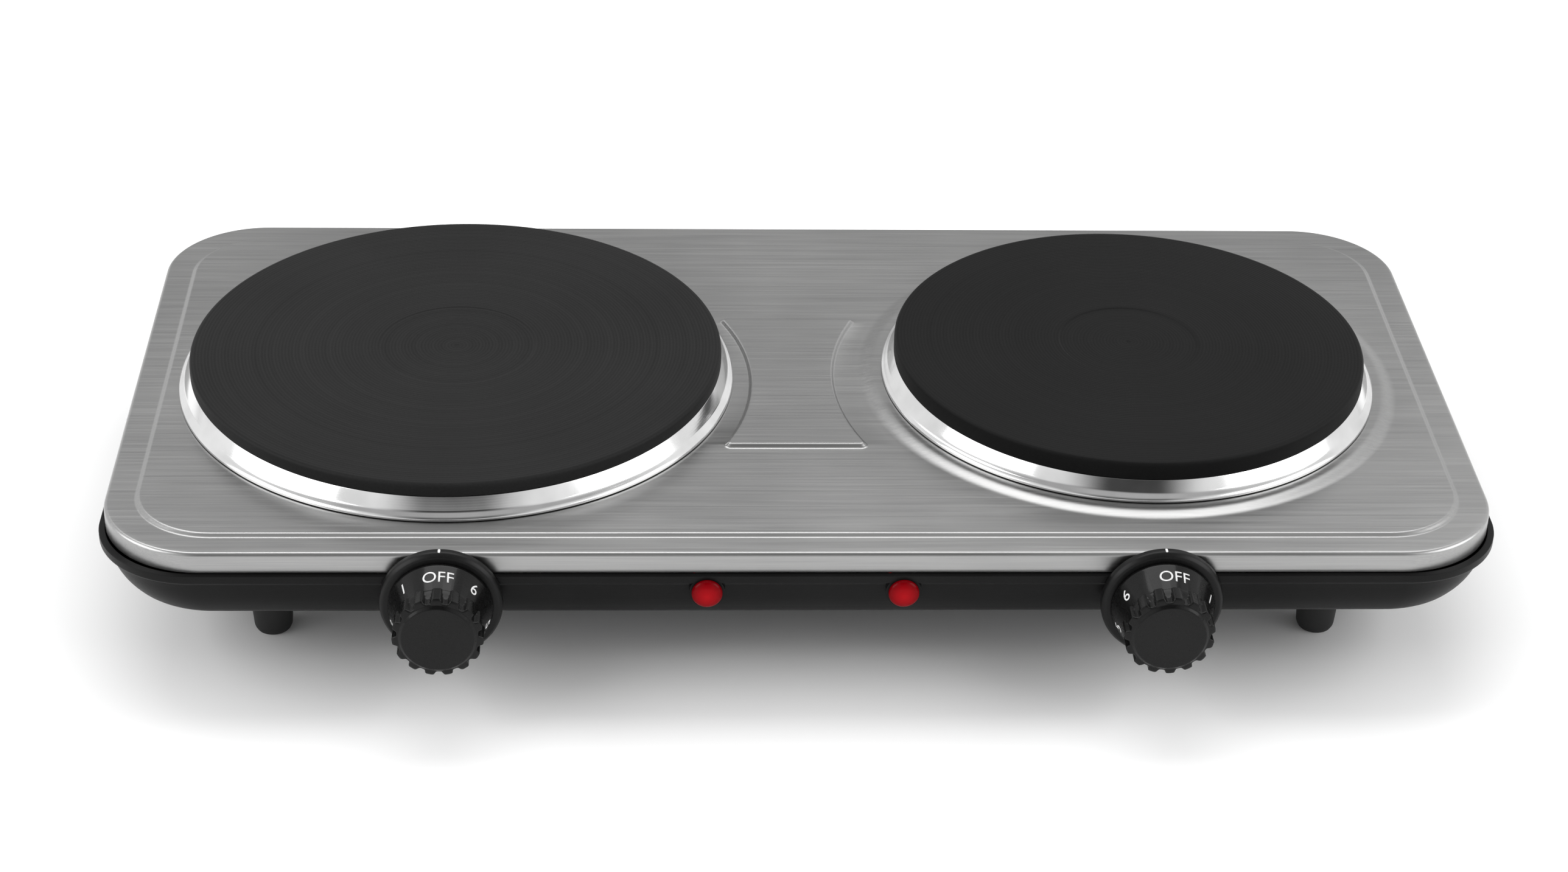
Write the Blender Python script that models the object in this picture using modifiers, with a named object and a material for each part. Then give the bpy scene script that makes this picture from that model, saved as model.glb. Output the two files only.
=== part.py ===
"""Double electric hot plate: a steel top with two cast-iron plates on a black moulded base.

Metres, +Z up, front towards -Y. The origin is at the bottom centre of the whole object's box.
Pieces are placed round the middle of the housing, which stands HOUSING_Y behind the origin.
"""

import math

import bmesh
import bpy

MM = 0.001
GAP = 0.3 * MM            # clearance between pieces that touch

# Overall plan and heights above the table
COVER_WIDTH = 460 * MM
COVER_DEPTH = 228 * MM
COVER_CORNER = 34.5 * MM
COVER_TOP = 54 * MM       # the flat border of the cover
BASE_BOTTOM = 24 * MM
BASE_TOP = 46.5 * MM
BASE_PROUD = 1.8 * MM     # how far the base stands out past the cover's skirt
BASE_CORNER = 33 * MM
BASE_WALL = 2 * MM
LIP_HEIGHT = 3 * MM

# Pressed steel cover
SHEET = 0.7 * MM
BEND = 2.5 * MM           # radius of the bend between top and skirt
BORDER = 7 * MM           # flat border between the bend and the step
STEP_RUN = 2 * MM
STEP_RISE = 0.9 * MM
COLLAR_RADIUS = 95 * MM   # foot of the pressed collar round each plate
COLLAR_RUN = 5.5 * MM
COLLAR_RISE = 1.0 * MM
PLATEAU_HALF_DEPTH = 45 * MM
PLATEAU_ARC = 103.5 * MM
PLATEAU_RISE = 1.2 * MM
PLATEAU_RUN = 1.5 * MM

# Cooking plates
PLATE_SPACING = 236 * MM
LEFT_PLATE_TOP = 67 * MM
RIGHT_PLATE_TOP = 69 * MM
LEFT_PLATE_RADIUS = 92.5 * MM
RIGHT_PLATE_RADIUS = 82.5 * MM
LEFT_RIM_HEIGHT = 4.7 * MM    # dark side of the plate that shows above its ring
RIGHT_RIM_HEIGHT = 6.4 * MM
PLATE_SKIN = 6.2 * MM     # iron above the heating coil
PLATE_RIM_WALL = 4.7 * MM
LEFT_RECESS_RADIUS = 27 * MM
RIGHT_RECESS_RADIUS = 24 * MM
PLATE_RECESS = 0.4 * MM
HOLE_CLEARANCE = 4 * MM   # plate radius less the radius of the cover's hole
RING_FLARE = 4.3 * MM     # how far the trim ring spreads past the plate
RING_SHEET = 0.7 * MM
COIL_RADIUS = 1.5 * MM
COIL_TURNS = 3
COIL_INNER = 24 * MM
COIL_POINTS_PER_TURN = 12
INSULATOR = 1.0 * MM
SHIELD_SHEET = 0.6 * MM
SHIELD_DEPTH = 8 * MM
STUD_RADIUS = 3 * MM      # M6
STUD_LENGTH = 25 * MM
STUD_BITE = 6.5 * MM      # how far the stud goes into the plate's boss
BOSS_RADIUS = 9 * MM
NUT_RADIUS = 5.8 * MM
NUT_HEIGHT = 5 * MM
BRIDGE_WIDTH = 16 * MM
BRIDGE_SHEET = 1.5 * MM
BRIDGE_BEYOND = 3 * MM    # how far the bridge reaches past the collar, under the flat sheet

# Knobs and thermostats, on an axis that runs from front to back
KNOB_HEIGHT = 37.4 * MM   # axis above the table
LEFT_KNOB_X = -118 * MM
RIGHT_KNOB_X = 116.4 * MM
BEZEL_RADIUS = 20 * MM
BEZEL_THICKNESS = 3.6 * MM
BEZEL_BORE = 6 * MM
KNOB_RIM_RADIUS = 17 * MM
KNOB_RIM = 1.2 * MM
KNOB_CONE_END = 14 * MM
KNOB_CONE = 9.2 * MM
KNOB_RIDGE_RADIUS = 14.9 * MM
KNOB_VALLEY_RADIUS = 13.2 * MM
KNOB_CORE_RADIUS = 12.2 * MM   # inside the grip's valleys
KNOB_GRIP = 7 * MM
KNOB_FACE_RADIUS = 11.6 * MM
KNOB_FACE = 1.2 * MM
KNOB_RIDGES = 15
SPINDLE_RADIUS = 3 * MM
SPINDLE_BITE = 12 * MM    # length of spindle inside the knob
KNOB_BOSS_RADIUS = 9 * MM
KNOB_BOSS_DEPTH = 18 * MM
BRACKET = 1.2 * MM
BRACKET_WIDTH = 44 * MM
BRACKET_HEIGHT = 16 * MM
CAM_RADIUS = 6 * MM
CAM_RISE = 2 * MM
CAM_SWEEP = 310           # degrees that the knob turns
CAM_FALL = 30             # degrees over which the cam drops back
CAM_THICKNESS = 3 * MM
ARM_LENGTH = 18 * MM      # from pivot to knob axis
ARM_TIP = 5 * MM
ARM_SHEET = 0.6 * MM
ARM_WIDTH = 4 * MM
ARM_LIFT = 0.4 * MM       # clearance between arm and cam
CONTACT_GAP = 3.4 * MM
PIN_RADIUS = 0.6 * MM
ROLL_RADIUS = 1.6 * MM      # rolled end of the arm
CONTACT_SHEET = 0.8 * MM
RIGHT_KNOB_TURN = 7      # degrees clockwise of OFF at rest
CERAMIC = (12 * MM, 12 * MM, 20 * MM)

# Indicator lamps
LAMP_SPACING = 64 * MM
LAMP_HEIGHT = 40.3 * MM
LAMP_RADIUS = 5 * MM
LAMP_BODY_RADIUS = 4.2 * MM
LAMP_BORE = 2.9 * MM
LAMP_DOME = 2.6 * MM
LAMP_BOSS_RADIUS = 5.8 * MM
LAMP_LENGTH = 11 * MM
NEON_RADIUS = 2.2 * MM
NEON_LENGTH = 12 * MM

# Feet, posts and their screws
FOOT_X = 178 * MM
FOOT_Y = 76 * MM
FOOT_TOP_RADIUS = 8 * MM
FOOT_BOTTOM_RADIUS = 6.4 * MM
FOOT_COUNTERBORE = 3.4 * MM
SCREW_HEAD_DEPTH = 11 * MM    # from the table up to the screw's head
SCREW_RADIUS = 1.7 * MM
SCREW_HEAD_RADIUS = 3.1 * MM
SCREW_HEAD = 2.2 * MM
SCREW_BITE = 14 * MM
POST_RADIUS = 4.5 * MM

# Mains entry
GLAND_X = 0 * MM
GLAND_HEIGHT = 36 * MM
GLAND_RADIUS = 8.5 * MM
GLAND_NECK = 6 * MM
GLAND_BORE = 4 * MM
GLAND_PROUD = 7 * MM
GLAND_DEPTH = 14 * MM
CORD_BOSS_DEPTH = 10 * MM
TERMINALS = (34 * MM, 16 * MM, 13 * MM)
TERMINALS_Y = 74 * MM
LEAD_RADIUS = 1.3 * MM

# Vents in the base
VENT_LENGTH = 40 * MM
VENT_WIDTH = 4 * MM
VENT_PITCH = 11 * MM
VENTS = 7

ROUND_STEPS = 40
MEDIUM_STEPS = 28
SMALL_STEPS = 16
CORNER_STEPS = 6

# Places worked out from the sizes above
BASE_WIDTH = COVER_WIDTH + 2 * BASE_PROUD
BASE_DEPTH = COVER_DEPTH + 2 * BASE_PROUD
PANEL_TOP = COVER_TOP + STEP_RISE
PANEL_UNDER = PANEL_TOP - SHEET
FLOOR_TOP = BASE_BOTTOM + BASE_WALL
BASE_FRONT = -BASE_DEPTH / 2
BEZEL_BACK = BASE_FRONT - GAP
KNOB_BACK = BEZEL_BACK - BEZEL_THICKNESS - GAP
KNOB_LENGTH = KNOB_RIM + KNOB_CONE + KNOB_GRIP + KNOB_FACE
KNOB_FRONT = KNOB_BACK - KNOB_LENGTH
BOSS_BACK = BASE_FRONT + KNOB_BOSS_DEPTH
GLAND_REAR = BASE_DEPTH / 2 + GAP + GLAND_PROUD
HOUSING_Y = -(KNOB_FRONT + GLAND_REAR) / 2
COLLAR_TOP = PANEL_TOP + COLLAR_RISE
BRACKET_BACK = BOSS_BACK + GAP + BRACKET
CAM_BACK = BRACKET_BACK + 3 * MM + CAM_THICKNESS
SPINDLE_REAR = CAM_BACK + 3 * MM
ARM_HEIGHT = KNOB_HEIGHT + CAM_RADIUS + ARM_LIFT
ARM_Y = CAM_BACK - CAM_THICKNESS / 2



def plate_levels(top):
    """The heights of everything that hangs from a plate, worked down from its cooking surface."""
    ceiling = top - PLATE_SKIN
    mica_top = ceiling - 2 * COIL_RADIUS - 2 * GAP
    rim_bottom = mica_top - INSULATOR + GAP
    shield_top = rim_bottom - GAP - INSULATOR / 2
    shield_floor = shield_top - SHIELD_DEPTH
    return {
        "top": top,
        "ceiling": ceiling,
        "mica_top": mica_top,
        "rim_bottom": rim_bottom,
        "shield_top": shield_top,
        "shield_floor": shield_floor,
        "stud_top": rim_bottom + STUD_BITE,
        "bridge_top": shield_floor - SHIELD_SHEET - 1.2 * MM,
    }


SIDES = {
    "left": {
        "x": -PLATE_SPACING / 2,
        "radius": LEFT_PLATE_RADIUS,
        "rim": LEFT_RIM_HEIGHT,
        "recess": LEFT_RECESS_RADIUS,
        "knob_x": LEFT_KNOB_X,
        "lamp_x": -LAMP_SPACING / 2,
        "turn": 0,
        **plate_levels(LEFT_PLATE_TOP),
    },
    "right": {
        "x": PLATE_SPACING / 2,
        "radius": RIGHT_PLATE_RADIUS,
        "rim": RIGHT_RIM_HEIGHT,
        "recess": RIGHT_RECESS_RADIUS,
        "knob_x": RIGHT_KNOB_X,
        "lamp_x": LAMP_SPACING / 2,
        "turn": RIGHT_KNOB_TURN,
        **plate_levels(RIGHT_PLATE_TOP),
    },
}
TOWARDS_FRONT = (math.pi / 2, 0, 0)   # turns a piece's own +Z to face the front
TOWARDS_REAR = (-math.pi / 2, 0, 0)


# ---------------------------------------------------------------- scene and materials


def clear_scene():
    for obj in list(bpy.data.objects):
        bpy.data.objects.remove(obj)


def new_collection(name):
    collection = bpy.data.collections.new(name)
    bpy.context.scene.collection.children.link(collection)
    return collection


def material(name, colour, roughness, metallic=0.0):
    """A Principled material, made once for each name."""
    found = bpy.data.materials.get(name)
    if found:
        return found
    made = bpy.data.materials.new(name)
    made.use_nodes = True
    shader = made.node_tree.nodes["Principled BSDF"]
    shader.inputs["Base Color"].default_value = (*colour, 1)
    shader.inputs["Roughness"].default_value = roughness
    shader.inputs["Metallic"].default_value = metallic
    made.diffuse_color = (*colour, 1)
    return made


def brushed_steel():
    return material("brushed_steel", (0.52, 0.52, 0.52), 0.35, 1.0)


def chromed_steel():
    return material("chromed_steel", (0.8, 0.8, 0.8), 0.12, 1.0)


def cast_iron():
    return material("cast_iron", (0.035, 0.035, 0.036), 0.6)


def black_moulding():
    return material("black_moulding", (0.022, 0.022, 0.023), 0.4)


def black_gloss():
    return material("black_gloss", (0.012, 0.012, 0.012), 0.15)


def red_lens():
    return material("red_lens", (0.6, 0.01, 0.015), 0.2)


def lamp_glass():
    return material("lamp_glass", (0.9, 0.6, 0.4), 0.1)


def rubber():
    return material("rubber", (0.02, 0.02, 0.02), 0.8)


def ceramic():
    return material("ceramic", (0.85, 0.83, 0.78), 0.5)


def zinc_steel():
    return material("zinc_steel", (0.6, 0.6, 0.58), 0.4, 1.0)


def brass():
    return material("brass", (0.7, 0.5, 0.2), 0.3, 1.0)


def mica():
    return material("mica", (0.55, 0.5, 0.42), 0.7)


def coil_wire():
    return material("coil_wire", (0.3, 0.27, 0.25), 0.5, 1.0)


def lead_sleeve():
    return material("lead_sleeve", (0.75, 0.72, 0.65), 0.8)


# ---------------------------------------------------------------- making shapes


def place(obj, parent, location=(0, 0, 0), rotation=(0, 0, 0), look=None, helper=False):
    """Puts obj in its collection, under its parent, with its material."""
    (CUTTERS if helper else PARTS).objects.link(obj)
    obj.parent = parent
    obj.location = location
    obj.rotation_euler = rotation
    if look:
        obj.data.materials.append(look)
    if helper:
        obj.hide_render = True
        obj.display_type = "WIRE"
    return obj


def empty(name, parent, location=(0, 0, 0)):
    made = bpy.data.objects.new(name, None)
    PARTS.objects.link(made)
    made.parent = parent
    made.location = location
    return made


def mesh_object(name, bm):
    mesh = bpy.data.meshes.new(name)
    bm.to_mesh(mesh)
    bm.free()
    return bpy.data.objects.new(name, mesh)


def smooth(obj, angle=40):
    obj.data.shade_smooth()
    obj.data.set_sharp_from_angle(angle=math.radians(angle))
    return obj


def turned(name, profile, steps=ROUND_STEPS, ring=False):
    """A profile of (radius, height) points turned about Z. It runs down its outer side, and a ring's
    profile closes on itself."""
    mesh = bpy.data.meshes.new(name)
    edges = [(i, i + 1) for i in range(len(profile) - 1)]
    if ring:
        edges.append((len(profile) - 1, 0))
    mesh.from_pydata([(r, 0, z) for r, z in profile], edges, [])
    obj = bpy.data.objects.new(name, mesh)
    screw = obj.modifiers.new("Turn", "SCREW")
    screw.steps = screw.render_steps = steps
    screw.use_merge_vertices = True
    screw.merge_threshold = 0.01 * MM
    screw.use_smooth_shade = True
    return obj


def cylinder(name, radius, height, steps=SMALL_STEPS):
    """A solid cylinder that stands on its own origin along +Z."""
    bm = bmesh.new()
    bmesh.ops.create_cone(
        bm, cap_ends=True, segments=steps, radius1=radius, radius2=radius, depth=height
    )
    bmesh.ops.translate(bm, verts=bm.verts, vec=(0, 0, height / 2))
    return smooth(mesh_object(name, bm))


def box(name, size, bevel=0.0):
    bm = bmesh.new()
    bmesh.ops.create_cube(bm, size=1)
    bmesh.ops.scale(bm, verts=bm.verts, vec=size)
    obj = mesh_object(name, bm)
    if bevel:
        rounded = obj.modifiers.new("Edges", "BEVEL")
        rounded.width = bevel
        rounded.segments = 1
    return obj


def outline(name, splines, thickness):
    """A flat plate in XY, thickness thick along Z, from closed outlines. An inner one is a hole."""
    curve = bpy.data.curves.new(name, "CURVE")
    curve.dimensions = "2D"
    curve.fill_mode = "BOTH"
    curve.extrude = thickness / 2
    for points in splines:
        spline = curve.splines.new("POLY")
        spline.points.add(len(points) - 1)
        for point, (x, y) in zip(spline.points, points):
            point.co = (x, y, 0, 1)
        spline.use_cyclic_u = True
    return as_mesh(bpy.data.objects.new(name, curve))


def as_mesh(obj):
    """The mesh of a curve object, its loose caps welded, in place of the curve."""
    bpy.context.scene.collection.objects.link(obj)
    bpy.context.view_layer.update()
    graph = bpy.context.evaluated_depsgraph_get()
    mesh = bpy.data.meshes.new_from_object(obj.evaluated_get(graph))
    made = bpy.data.objects.new(obj.name, mesh)
    made.matrix_world = obj.matrix_world
    name = obj.name
    bpy.data.objects.remove(obj)
    made.name = name
    bm = bmesh.new()
    bm.from_mesh(mesh)
    bmesh.ops.remove_doubles(bm, verts=bm.verts, dist=0.001 * MM)
    bm.to_mesh(mesh)
    bm.free()
    return made


def tube(name, route, radius):
    """A round wire along a list of points."""
    curve = bpy.data.curves.new(name, "CURVE")
    curve.dimensions = "3D"
    curve.bevel_depth = radius
    curve.bevel_resolution = 1     # six sides
    curve.use_fill_caps = True
    spline = curve.splines.new("POLY")
    spline.points.add(len(route) - 1)
    for point, co in zip(spline.points, route):
        point.co = (*co, 1)
    return bpy.data.objects.new(name, curve)


def boolean(obj, other, operation="DIFFERENCE"):
    made = obj.modifiers.new(operation.title() + " " + other.name, "BOOLEAN")
    made.operation = operation
    made.object = other
    made.solver = "EXACT"


def rounded_rectangle(width, depth, corner):
    """Points anticlockwise round a rectangle with round corners, in XY."""
    points = []
    for quarter, (sx, sy) in enumerate([(1, 1), (-1, 1), (-1, -1), (1, -1)]):
        centre = (sx * (width / 2 - corner), sy * (depth / 2 - corner))
        for step in range(CORNER_STEPS + 1):
            angle = math.pi / 2 * (quarter + step / CORNER_STEPS)
            points.append(
                (centre[0] + corner * math.cos(angle), centre[1] + corner * math.sin(angle))
            )
    return points


def add_loop(bm, points, height):
    """A closed loop of vertices through points in XY at one height."""
    return [bm.verts.new((x, y, height)) for x, y in points]


def loft(bm, loops):
    """Joins each loop to the next, vertex to vertex: the loops have the same points in the same order."""
    for lower, upper in zip(loops, loops[1:]):
        for i in range(len(lower)):
            bm.faces.new((lower[i - 1], lower[i], upper[i], upper[i - 1]))


def edges_of(bm, loop):
    return [bm.edges.get((loop[i - 1], loop[i])) for i in range(len(loop))]


def wall_loops(bm, width, depth, corner, sections, keep_corner):
    """The walls of an open pressed tray: rounded rectangles, each an inset and a height, joined in
    order. keep_corner is the share of an inset that the corner radius gives up."""
    loops = []
    for inset, height in sections:
        points = rounded_rectangle(width - 2 * inset, depth - 2 * inset, corner - keep_corner * inset)
        loops.append(add_loop(bm, points, height))
    loft(bm, loops)
    return loops


def sheet_object(name, bm, up):
    """The surface as an object, with the face furthest along up facing that way."""
    bmesh.ops.recalc_face_normals(bm, faces=bm.faces)
    flat = max(bm.faces, key=lambda face: (round(abs(face.normal.z), 3), face.calc_area()))
    if flat.normal.z * up < 0:
        bmesh.ops.reverse_faces(bm, faces=bm.faces)
    return mesh_object(name, bm)


def thicken(obj, thickness, offset):
    """Gives an open surface its wall. offset -1 grows against the normals, +1 along them."""
    wall = obj.modifiers.new("Wall", "SOLIDIFY")
    wall.thickness = thickness
    wall.offset = offset
    wall.use_even_offset = True


def smooth_route(points, spacing):
    """Points about a spacing apart on a Catmull-Rom curve through the given points."""
    padded = [points[0], *points, points[-1]]
    route = []
    for a, b, c, d in zip(padded, padded[1:], padded[2:], padded[3:]):
        steps = max(1, round(math.dist(b, c) / spacing))
        for i in range(steps):
            t = i / steps
            route.append(
                tuple(
                    0.5
                    * (
                        2 * b[k]
                        + (c[k] - a[k]) * t
                        + (2 * a[k] - 5 * b[k] + 4 * c[k] - d[k]) * t**2
                        + (3 * b[k] - a[k] - 3 * c[k] + d[k]) * t**3
                    )
                    for k in range(3)
                )
            )
    return [*route, tuple(points[-1])]


# ---------------------------------------------------------------- housing


def plateau_outline(margin=0.0):
    """The pressed panel between the plates: straight front and back, sides hollowed round the plates."""
    half_depth = PLATEAU_HALF_DEPTH - margin
    arc = PLATEAU_ARC + margin
    reach = math.asin(half_depth / arc)
    steps = 10
    points = []
    for side, start, end in ((-1, -reach, reach), (1, math.pi - reach, math.pi + reach)):
        for i in range(steps + 1):
            angle = start + (end - start) * i / steps
            points.append((side * PLATE_SPACING / 2 + arc * math.cos(angle), arc * math.sin(angle)))
    return points


def make_top_cover():
    """The pressed sheet: skirt, bend, border, step up to the panel, a collar and a hole for each plate."""
    bend = [
        (BEND * (1 - math.cos(a)), COVER_TOP - BEND * (1 - math.sin(a)))
        for a in (0, math.pi / 6, math.pi / 3, math.pi / 2)
    ]
    step = BEND + BORDER
    sections = [(0, BASE_TOP + GAP), *bend, (step, COVER_TOP), (step + STEP_RUN, PANEL_TOP)]
    bm = bmesh.new()
    rims = edges_of(bm, wall_loops(bm, COVER_WIDTH, COVER_DEPTH, COVER_CORNER, sections, 0.74)[-1])
    for at in SIDES.values():
        collar = [
            (COLLAR_RADIUS, PANEL_TOP),
            (COLLAR_RADIUS - COLLAR_RUN, COLLAR_TOP),
            (at["radius"] - HOLE_CLEARANCE, COLLAR_TOP),
        ]
        rings = [
            add_loop(bm, [(at["x"] + x, y) for x, y in circle(radius, ROUND_STEPS)], height)
            for radius, height in collar
        ]
        loft(bm, rings)
        rims += edges_of(bm, rings[0])
    foot = add_loop(bm, plateau_outline(), PANEL_TOP)
    crest = add_loop(bm, plateau_outline(PLATEAU_RUN), PANEL_TOP + PLATEAU_RISE)
    loft(bm, [foot, crest])
    bmesh.ops.triangle_fill(bm, edges=rims + edges_of(bm, foot), use_beauty=True, normal=(0, 0, 1))
    bm.faces.new(crest)
    cover = sheet_object("top_cover", bm, 1)
    thicken(cover, SHEET, -1)
    place(cover, ROOT, look=brushed_steel())


def make_base_pan():
    """The black moulded base: a rounded tray with bosses for knobs, lamps and the cord, and vents."""
    sections = [
        (0, BASE_TOP),
        (0, BASE_TOP - LIP_HEIGHT),
        (2.4 * MM, BASE_TOP - LIP_HEIGHT - 1.4 * MM),
        (4 * MM, BASE_BOTTOM + 10 * MM),
        (9 * MM, BASE_BOTTOM + 2.5 * MM),
        (17 * MM, BASE_BOTTOM),
    ]
    bm = bmesh.new()
    floor = wall_loops(bm, BASE_WIDTH, BASE_DEPTH, BASE_CORNER, sections, 0.41)[-1]
    bm.faces.new(floor)
    pan = sheet_object("base_pan", bm, -1)
    thicken(pan, BASE_WALL, -1)
    place(pan, ROOT, look=black_moulding())
    for side, at in SIDES.items():
        boss = cylinder(side + "_knob_boss", KNOB_BOSS_RADIUS, KNOB_BOSS_DEPTH, 32)
        place(boss, ROOT, (at["knob_x"], BOSS_BACK, KNOB_HEIGHT), TOWARDS_FRONT, helper=True)
        boolean(pan, boss, "UNION")
        bore = cylinder(side + "_spindle_bore", BEZEL_BORE, 2 * KNOB_BOSS_DEPTH)
        place(bore, ROOT, (at["knob_x"], BOSS_BACK + 5 * MM, KNOB_HEIGHT), TOWARDS_FRONT, helper=True)
        boolean(pan, bore)
        lamp_boss = cylinder(side + "_lamp_boss", LAMP_BOSS_RADIUS, 5 * MM)
        lamp_back = BASE_FRONT + 5 * MM
        place(lamp_boss, ROOT, (at["lamp_x"], lamp_back, LAMP_HEIGHT), TOWARDS_FRONT, helper=True)
        boolean(pan, lamp_boss, "UNION")
        lamp_bore = cylinder(side + "_lamp_bore", LAMP_BODY_RADIUS + GAP, 20 * MM)
        lamp_start = BASE_FRONT + 10 * MM
        place(lamp_bore, ROOT, (at["lamp_x"], lamp_start, LAMP_HEIGHT), TOWARDS_FRONT, helper=True)
        boolean(pan, lamp_bore)
    cord_boss = cylinder("cord_boss", GLAND_RADIUS + 1 * MM, CORD_BOSS_DEPTH, 24)
    cord_front = BASE_DEPTH / 2 - CORD_BOSS_DEPTH
    place(cord_boss, ROOT, (GLAND_X, cord_front, GLAND_HEIGHT), TOWARDS_REAR, helper=True)
    boolean(pan, cord_boss, "UNION")
    cord_bore = cylinder("cord_bore", GLAND_NECK + GAP, 30 * MM, 24)
    place(cord_bore, ROOT, (GLAND_X, cord_front - 9 * MM, GLAND_HEIGHT), TOWARDS_REAR, helper=True)
    boolean(pan, cord_bore)
    boolean(pan, place(floor_cutter(), ROOT, helper=True))


def floor_cutter():
    """One mesh for the vents under both plates and the four screw holes."""
    bm = bmesh.new()
    for at in SIDES.values():
        for i in range(VENTS):
            y = (i - (VENTS - 1) / 2) * VENT_PITCH
            cube = bmesh.ops.create_cube(bm, size=1)["verts"]
            bmesh.ops.scale(bm, verts=cube, vec=(VENT_LENGTH, VENT_WIDTH, 4 * BASE_WALL))
            bmesh.ops.translate(bm, verts=cube, vec=(at["x"], y, BASE_BOTTOM + BASE_WALL / 2))
    for x in (-FOOT_X, FOOT_X):
        for y in (-FOOT_Y, FOOT_Y):
            drill = bmesh.ops.create_cone(
                bm,
                cap_ends=True,
                segments=12,
                radius1=SCREW_RADIUS + 2 * GAP,
                radius2=SCREW_RADIUS + 2 * GAP,
                depth=4 * BASE_WALL,
            )["verts"]
            bmesh.ops.translate(bm, verts=drill, vec=(x, y, BASE_BOTTOM + BASE_WALL / 2))
    return mesh_object("floor_cutter", bm)


def make_foot(where, x, y):
    """A tapered foot, the screw up through it, and the post under the cover that the screw holds."""
    top = BASE_BOTTOM - GAP
    shank = SCREW_RADIUS + 2 * GAP
    foot = turned(
        "foot_" + where,
        [
            (FOOT_TOP_RADIUS, top),
            (FOOT_BOTTOM_RADIUS, 1.6 * MM),
            (FOOT_BOTTOM_RADIUS - 0.9 * MM, 0),
            (FOOT_COUNTERBORE, 0),
            (FOOT_COUNTERBORE, SCREW_HEAD_DEPTH + SCREW_HEAD + GAP),
            (shank, SCREW_HEAD_DEPTH + SCREW_HEAD + GAP),
            (shank, top),
        ],
        SMALL_STEPS,
        ring=True,
    )
    place(foot, ROOT, (x, y, 0), look=rubber())
    head_top = SCREW_HEAD_DEPTH + SCREW_HEAD
    bite = FLOOR_TOP + GAP + SCREW_BITE
    screw = turned(
        "foot_screw_" + where,
        [
            (0, bite),
            (SCREW_RADIUS, bite - 1 * MM),
            (SCREW_RADIUS, head_top),
            (SCREW_HEAD_RADIUS, head_top),
            (SCREW_HEAD_RADIUS, SCREW_HEAD_DEPTH + 0.6 * MM),
            (SCREW_HEAD_RADIUS - 0.6 * MM, SCREW_HEAD_DEPTH),
            (0, SCREW_HEAD_DEPTH),
        ],
        12,
    )
    place(screw, ROOT, (x, y, 0), look=zinc_steel())
    bore = SCREW_RADIUS + GAP
    post = turned(
        "cover_post_" + where,
        [
            (0, PANEL_UNDER - GAP),
            (POST_RADIUS, PANEL_UNDER - GAP),
            (POST_RADIUS, FLOOR_TOP + GAP),
            (bore, FLOOR_TOP + GAP),
            (bore, bite + 2 * MM),
            (0, bite + 2 * MM),
        ],
        12,
    )
    place(post, ROOT, (x, y, 0), look=zinc_steel())


# ---------------------------------------------------------------- cooking plates


def make_hotplate(side, at):
    """The iron casting: a thick disc with a turned-down rim and a central boss for the stud."""
    radius, rim_end = at["radius"], at["top"] - at["rim"]
    inner = radius - 1.3 * MM
    stud_hole = STUD_RADIUS + GAP
    plate = turned(
        side + "_hotplate",
        [
            (0, at["top"] - PLATE_RECESS),
            (at["recess"], at["top"] - PLATE_RECESS),
            (at["recess"] + PLATE_RECESS, at["top"]),
            (radius - 1.4 * MM, at["top"]),
            (radius - 0.4 * MM, at["top"] - 0.4 * MM),
            (radius, at["top"] - 1.4 * MM),
            (radius, rim_end),
            (inner, rim_end),
            (inner, at["rim_bottom"]),
            (inner - PLATE_RIM_WALL, at["rim_bottom"]),
            (inner - PLATE_RIM_WALL, at["ceiling"]),
            (BOSS_RADIUS, at["ceiling"]),
            (BOSS_RADIUS, at["rim_bottom"]),
            (stud_hole, at["rim_bottom"]),
            (stud_hole, at["stud_top"] + GAP),
            (0, at["stud_top"] + GAP),
        ],
    )
    place(plate, ROOT, (at["x"], 0, 0), look=cast_iron())


def make_trim_ring(side, at):
    """The bright flared ring that stands on the cover and closes the gap round the plate."""
    radius, top = at["radius"], at["top"] - at["rim"] - GAP
    outer = radius + RING_FLARE
    wall = RING_SHEET
    # a wide ring stands on the flat sheet outside the collar, and a narrower one on the collar
    seat = (PANEL_TOP if outer - wall > COLLAR_RADIUS else COLLAR_TOP) + GAP
    ring = turned(
        side + "_trim_ring",
        [
            (radius - 0.4 * MM, top),
            (outer - 1.9 * MM, seat + 2.1 * MM),
            (outer - 0.8 * MM, seat + 1.6 * MM),
            (outer, seat + 0.8 * MM),
            (outer, seat),
            (outer - wall, seat),
            (outer - wall, seat + 0.6 * MM),
            (outer - wall - 1.6 * MM, seat + 1.3 * MM),
            (radius - 1.0 * MM, top - wall),
            (radius - 1.0 * MM, top),
        ],
        ring=True,
    )
    place(ring, ROOT, (at["x"], 0, 0), look=chromed_steel())


def make_heating_coil(side, at):
    """The spiral of resistance wire under the iron."""
    outer = at["radius"] - 1.3 * MM - PLATE_RIM_WALL - 4 * MM
    count = COIL_TURNS * COIL_POINTS_PER_TURN
    route = []
    for i in range(count + 1):
        angle = 2 * math.pi * i / COIL_POINTS_PER_TURN
        reach = COIL_INNER + (outer - COIL_INNER) * i / count
        route.append((reach * math.cos(angle), reach * math.sin(angle), 0))
    coil = tube(side + "_heating_coil", route, COIL_RADIUS)
    height = at["ceiling"] - GAP - COIL_RADIUS
    place(coil, ROOT, (at["x"], 0, height), look=coil_wire())


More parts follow.
